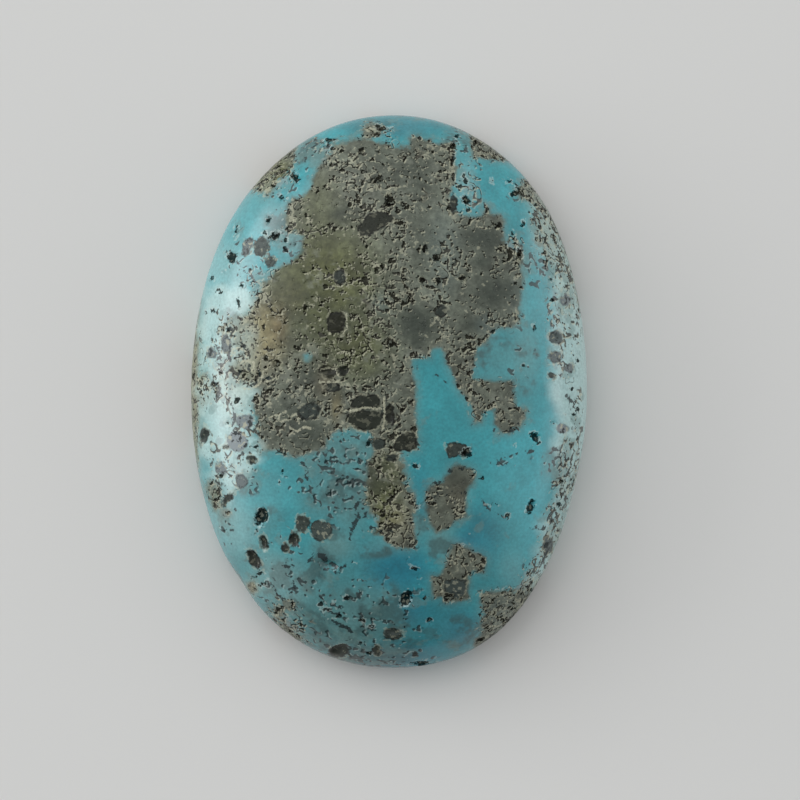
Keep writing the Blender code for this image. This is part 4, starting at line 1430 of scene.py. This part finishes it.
@dataclass
class Board:
    """A shader's nodes, and the few ways in which this stone's patterns put them together.

    A noise's seed, times the seed moves, is how far its pattern is shifted along each axis. The
    sway and break seeds are added to the seed of the marks that they belong to.
    """

    tree: bpy.types.NodeTree
    places: Socket | None = None
    seed_moves: tuple[float, float, float] = (7.3, -5.1, 3.7)
    roughness: float = 0.6
    sway_seed: float = 50.0
    break_seed: float = 80.0

    def read_places(self) -> None:
        """Reads places in millimetres from the object's own coordinates."""
        own = self.add(Kind.OWN_PLACE)
        self.places = self.add(Kind.SCALED, own, (1 / MM, 1 / MM, 1 / MM))

    def add(self, kind: Kind, *values: Value, **settings: object) -> Socket:
        """Adds one node with its settings and its links.

        Args:
            kind: Which kind of node.
            *values: A number or another node's socket for each of the kind's inputs, in order.
            **settings: Properties of this node, beside the kind's own.

        Returns:
            The output socket.
        """
        recipe = kind.value
        made = self.tree.nodes.new(recipe.name)
        for name, setting in (*recipe.settings, *settings.items()):
            setattr(made, name, setting)
        for key, value in zip(recipe.inputs, values):
            if isinstance(value, Socket):
                self.tree.links.new(value, made.inputs[key])
            else:
                made.inputs[key].default_value = value
        return made.outputs[recipe.output]

    def swells(
        self, size: float, seed: float, detail: float, lean: tuple[float, float] = (0.0, 0.0)
    ) -> Socket:
        """A noise from 0 to 1, its swells about a size in mm apart, moved by the lean in mm."""
        across, along, up = (seed * move for move in self.seed_moves)
        moved = self.add(Kind.MOVED, self.places, (across - lean[0], along - lean[1], up))
        return self.add(Kind.NOISE, moved, 1 / size, detail, self.roughness)

    def paint(self, colour: Value, layers: Sequence[Layer]) -> Socket:
        """Lays a finish's layers over a colour, in order.

        Args:
            colour: The colour underneath, as linear values or another node's socket.
            layers: The layers, undermost first.

        Returns:
            The finished colour.
        """
        for layer in layers:
            if isinstance(layer, Coat):
                zone = self.add(Kind.FIELD, attribute_name=layer.zone.value)
                share = self.add(Kind.PRODUCT, zone, layer.strength)
                colour = self.add(Kind.COAT, colour, linear(layer.hue), share)
            elif isinstance(layer, Mottle):
                noise = self.swells(layer.size, layer.seed, layer.detail)
                low, high = 1 - layer.contrast, 1 + layer.contrast
                gain = self.add(Kind.RANGE, noise, *layer.levels, low, high)
                colour = self.add(Kind.BRIGHTER, colour, gain)
            else:
                colour = self.mark(colour, layer)
        return colour

    def mark(self, colour: Socket, layer: Marks) -> Socket:
        """Lays every band of a set of marks over a colour, in order."""
        lift: Socket | float = 0.0
        for zone, amount in layer.crowds:
            crowd = self.add(Kind.FIELD, attribute_name=zone.value)
            lift = self.add(Kind.SUM, lift, self.add(Kind.PRODUCT, crowd, amount))
        if layer.cluster:
            sway = self.swells(layer.size * 3, seed=layer.seed + self.sway_seed, detail=1.0)
            sway = self.add(Kind.SUM, sway, -0.5)
            lift = self.add(Kind.SUM, lift, self.add(Kind.PRODUCT, sway, layer.cluster))
        cover: Socket | float = 1.0
        if layer.within:
            place = self.add(Kind.FIELD, attribute_name=layer.within.value)
            drop = self.add(Kind.PRODUCT, self.add(Kind.SUM, place, -1.0), layer.thinning)
            lift = self.add(Kind.SUM, lift, drop)
            cover = self.add(Kind.STEP, place, *layer.hold)
        if layer.breaks:
            pieces = self.swells(layer.breaks, seed=layer.seed + self.break_seed, detail=1.0)
            pieces = self.add(Kind.STEP, self.add(Kind.SUM, pieces, lift), *layer.gaps)
            cover = self.add(Kind.PRODUCT, cover, pieces)
        for band in layer.bands:
            # A lit band is a painted highlight, read from the same noise moved by the lean.
            lean = layer.lean if band.lit else (0.0, 0.0)
            noise = self.swells(layer.size, layer.seed, layer.detail, lean)
            value = self.add(Kind.SUM, noise, lift)
            share = self.add(Kind.STEP, value, band.low - layer.soft, band.low + layer.soft)
            if band.high < EVERYTHING:
                above = self.add(Kind.STEP, value, band.high + layer.soft, band.high - layer.soft)
                share = self.add(Kind.PRODUCT, share, above)
            share = self.add(Kind.PRODUCT, self.add(Kind.PRODUCT, share, band.strength), cover)
            colour = self.add(Kind.COAT, colour, linear(band.hue), share)
        return colour


@dataclass(frozen=True)
class Softbox:
    """A rectangular light aimed at the stone: its place and sides in metres, its power in watts."""

    name: str
    place: tuple[float, float, float]
    width: float
    height: float
    power: float


@dataclass(frozen=True)
class Studio:
    """A pale floor, soft lights and a camera square over the domed face.

    The sky is brighter low down than overhead, and shaded by the near and far shares towards -y and
    +y, each between the two values of its reach. The aim is the point under the camera, which sets
    the stone where the photograph has it.
    """

    view_width: float = 40.4 * MM
    aim: tuple[float, float] = (0.556 * MM, -0.429 * MM)
    lens: float = 400.0
    floor_side: float = 1.6
    floor_colour: tuple[float, float, float, float] = (0.74, 0.73, 0.71, 1.0)
    floor_roughness: float = 0.9
    floor_gap: float = 0.02 * MM
    sky_colour: tuple[float, float, float, float] = (0.95, 0.98, 1.0, 1.0)
    sky_low: float = 1.3
    sky_high: float = 0.45
    near_shade: float = 0.08
    near_reach: tuple[float, float] = (-1.0, -0.1)
    far_shade: float = 0.6
    far_reach: tuple[float, float] = (1.0, 0.2)
    lights: tuple[Softbox, ...] = (
        Softbox("window side", (-0.44, 0.1, 0.12), 0.5, 0.2, 0.7),
        Softbox("far side", (0.45, 0.05, 0.09), 0.4, 0.14, 0.12),
        Softbox("overhead", (-0.35, 0.4, 0.5), 0.7, 0.7, 1.7),
        Softbox("fill", (0.25, 0.4, 0.55), 0.6, 0.6, 0.4),
    )

    def build(self, girdle_height: float) -> None:
        """Sets up the floor, the sky, the lights and the camera.

        Args:
            girdle_height: The level at which the view's width is measured, in metres.
        """
        self.lay_floor()
        self.light()
        self.place_camera(girdle_height)

    def lay_floor(self) -> None:
        """A matt paper floor that the stone's back rests on."""
        half = self.floor_side / 2
        mesh = bpy.data.meshes.new("paper_floor")
        corners = [(-half, -half, 0.0), (half, -half, 0.0), (half, half, 0.0), (-half, half, 0.0)]
        mesh.from_pydata(corners, [], [(0, 1, 2, 3)])
        paper = bpy.data.materials.new("matt studio paper")
        paper.use_nodes = True
        surface = paper.node_tree.nodes["Principled BSDF"]
        surface.inputs["Base Color"].default_value = self.floor_colour
        surface.inputs["Roughness"].default_value = self.floor_roughness
        mesh.materials.append(paper)
        floor = bpy.data.objects.new("paper_floor", mesh)
        floor.location.z = -self.floor_gap
        bpy.context.scene.collection.objects.link(floor)

    def light(self) -> None:
        """Soft sky and softboxes."""
        world = bpy.data.worlds.new("studio")
        world.use_nodes = True
        sky = world.node_tree.nodes["Background"]
        sky.inputs["Color"].default_value = self.sky_colour
        board = Board(world.node_tree)
        way = board.add(Kind.DIRECTION)
        height = board.add(Kind.UPWARD, way)
        along = board.add(Kind.ALONG, way)
        strength = board.add(Kind.RANGE, height, 0.0, 1.0, self.sky_low, self.sky_high)
        near = board.add(Kind.RANGE, along, *self.near_reach, self.near_shade, 1.0)
        far = board.add(Kind.RANGE, along, *self.far_reach, self.far_shade, 1.0)
        strength = board.add(Kind.PRODUCT, strength, board.add(Kind.PRODUCT, near, far))
        world.node_tree.links.new(strength, sky.inputs["Strength"])
        bpy.context.scene.world = world
        for box in self.lights:
            data = bpy.data.lights.new(box.name, "AREA")
            data.shape = "RECTANGLE"
            data.size = box.width
            data.size_y = box.height
            data.energy = box.power
            lamp = bpy.data.objects.new(box.name, data)
            lamp.location = box.place
            lamp.rotation_euler = Vector(box.place).to_track_quat("Z", "Y").to_euler()
            bpy.context.scene.collection.objects.link(lamp)

    def place_camera(self, girdle_height: float) -> None:
        """A long lens straight above, so that the marks keep the places they were read at."""
        data = bpy.data.cameras.new("camera")
        data.lens = self.lens
        distance = self.view_width * self.lens / data.sensor_width
        camera = bpy.data.objects.new("camera", data)
        camera.location = (*self.aim, girdle_height + distance)
        data.clip_start = distance / 10
        data.clip_end = distance * 10
        bpy.context.scene.collection.objects.link(camera)
        bpy.context.scene.camera = camera
        bpy.context.scene.view_settings.view_transform = "Standard"


def main() -> None:
    """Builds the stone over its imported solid, dresses it and lights it."""
    logging.basicConfig(level=logging.INFO, format="%(name)s: %(message)s")
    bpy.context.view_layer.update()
    low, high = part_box(NODE)
    form = StoneForm(low, high)
    cabochon = Cabochon(form)
    stone = cabochon.build()
    cabochon.dress(stone, StoneFinish())
    mesh = stone.data
    LOG.info("%s: %d points, %d faces", stone.name, len(mesh.vertices), len(mesh.polygons))
    Studio().build(form.girdle_height)
    LOG.info("studio: floor, sky, lights and camera")


if __name__ == "__main__":
    main()
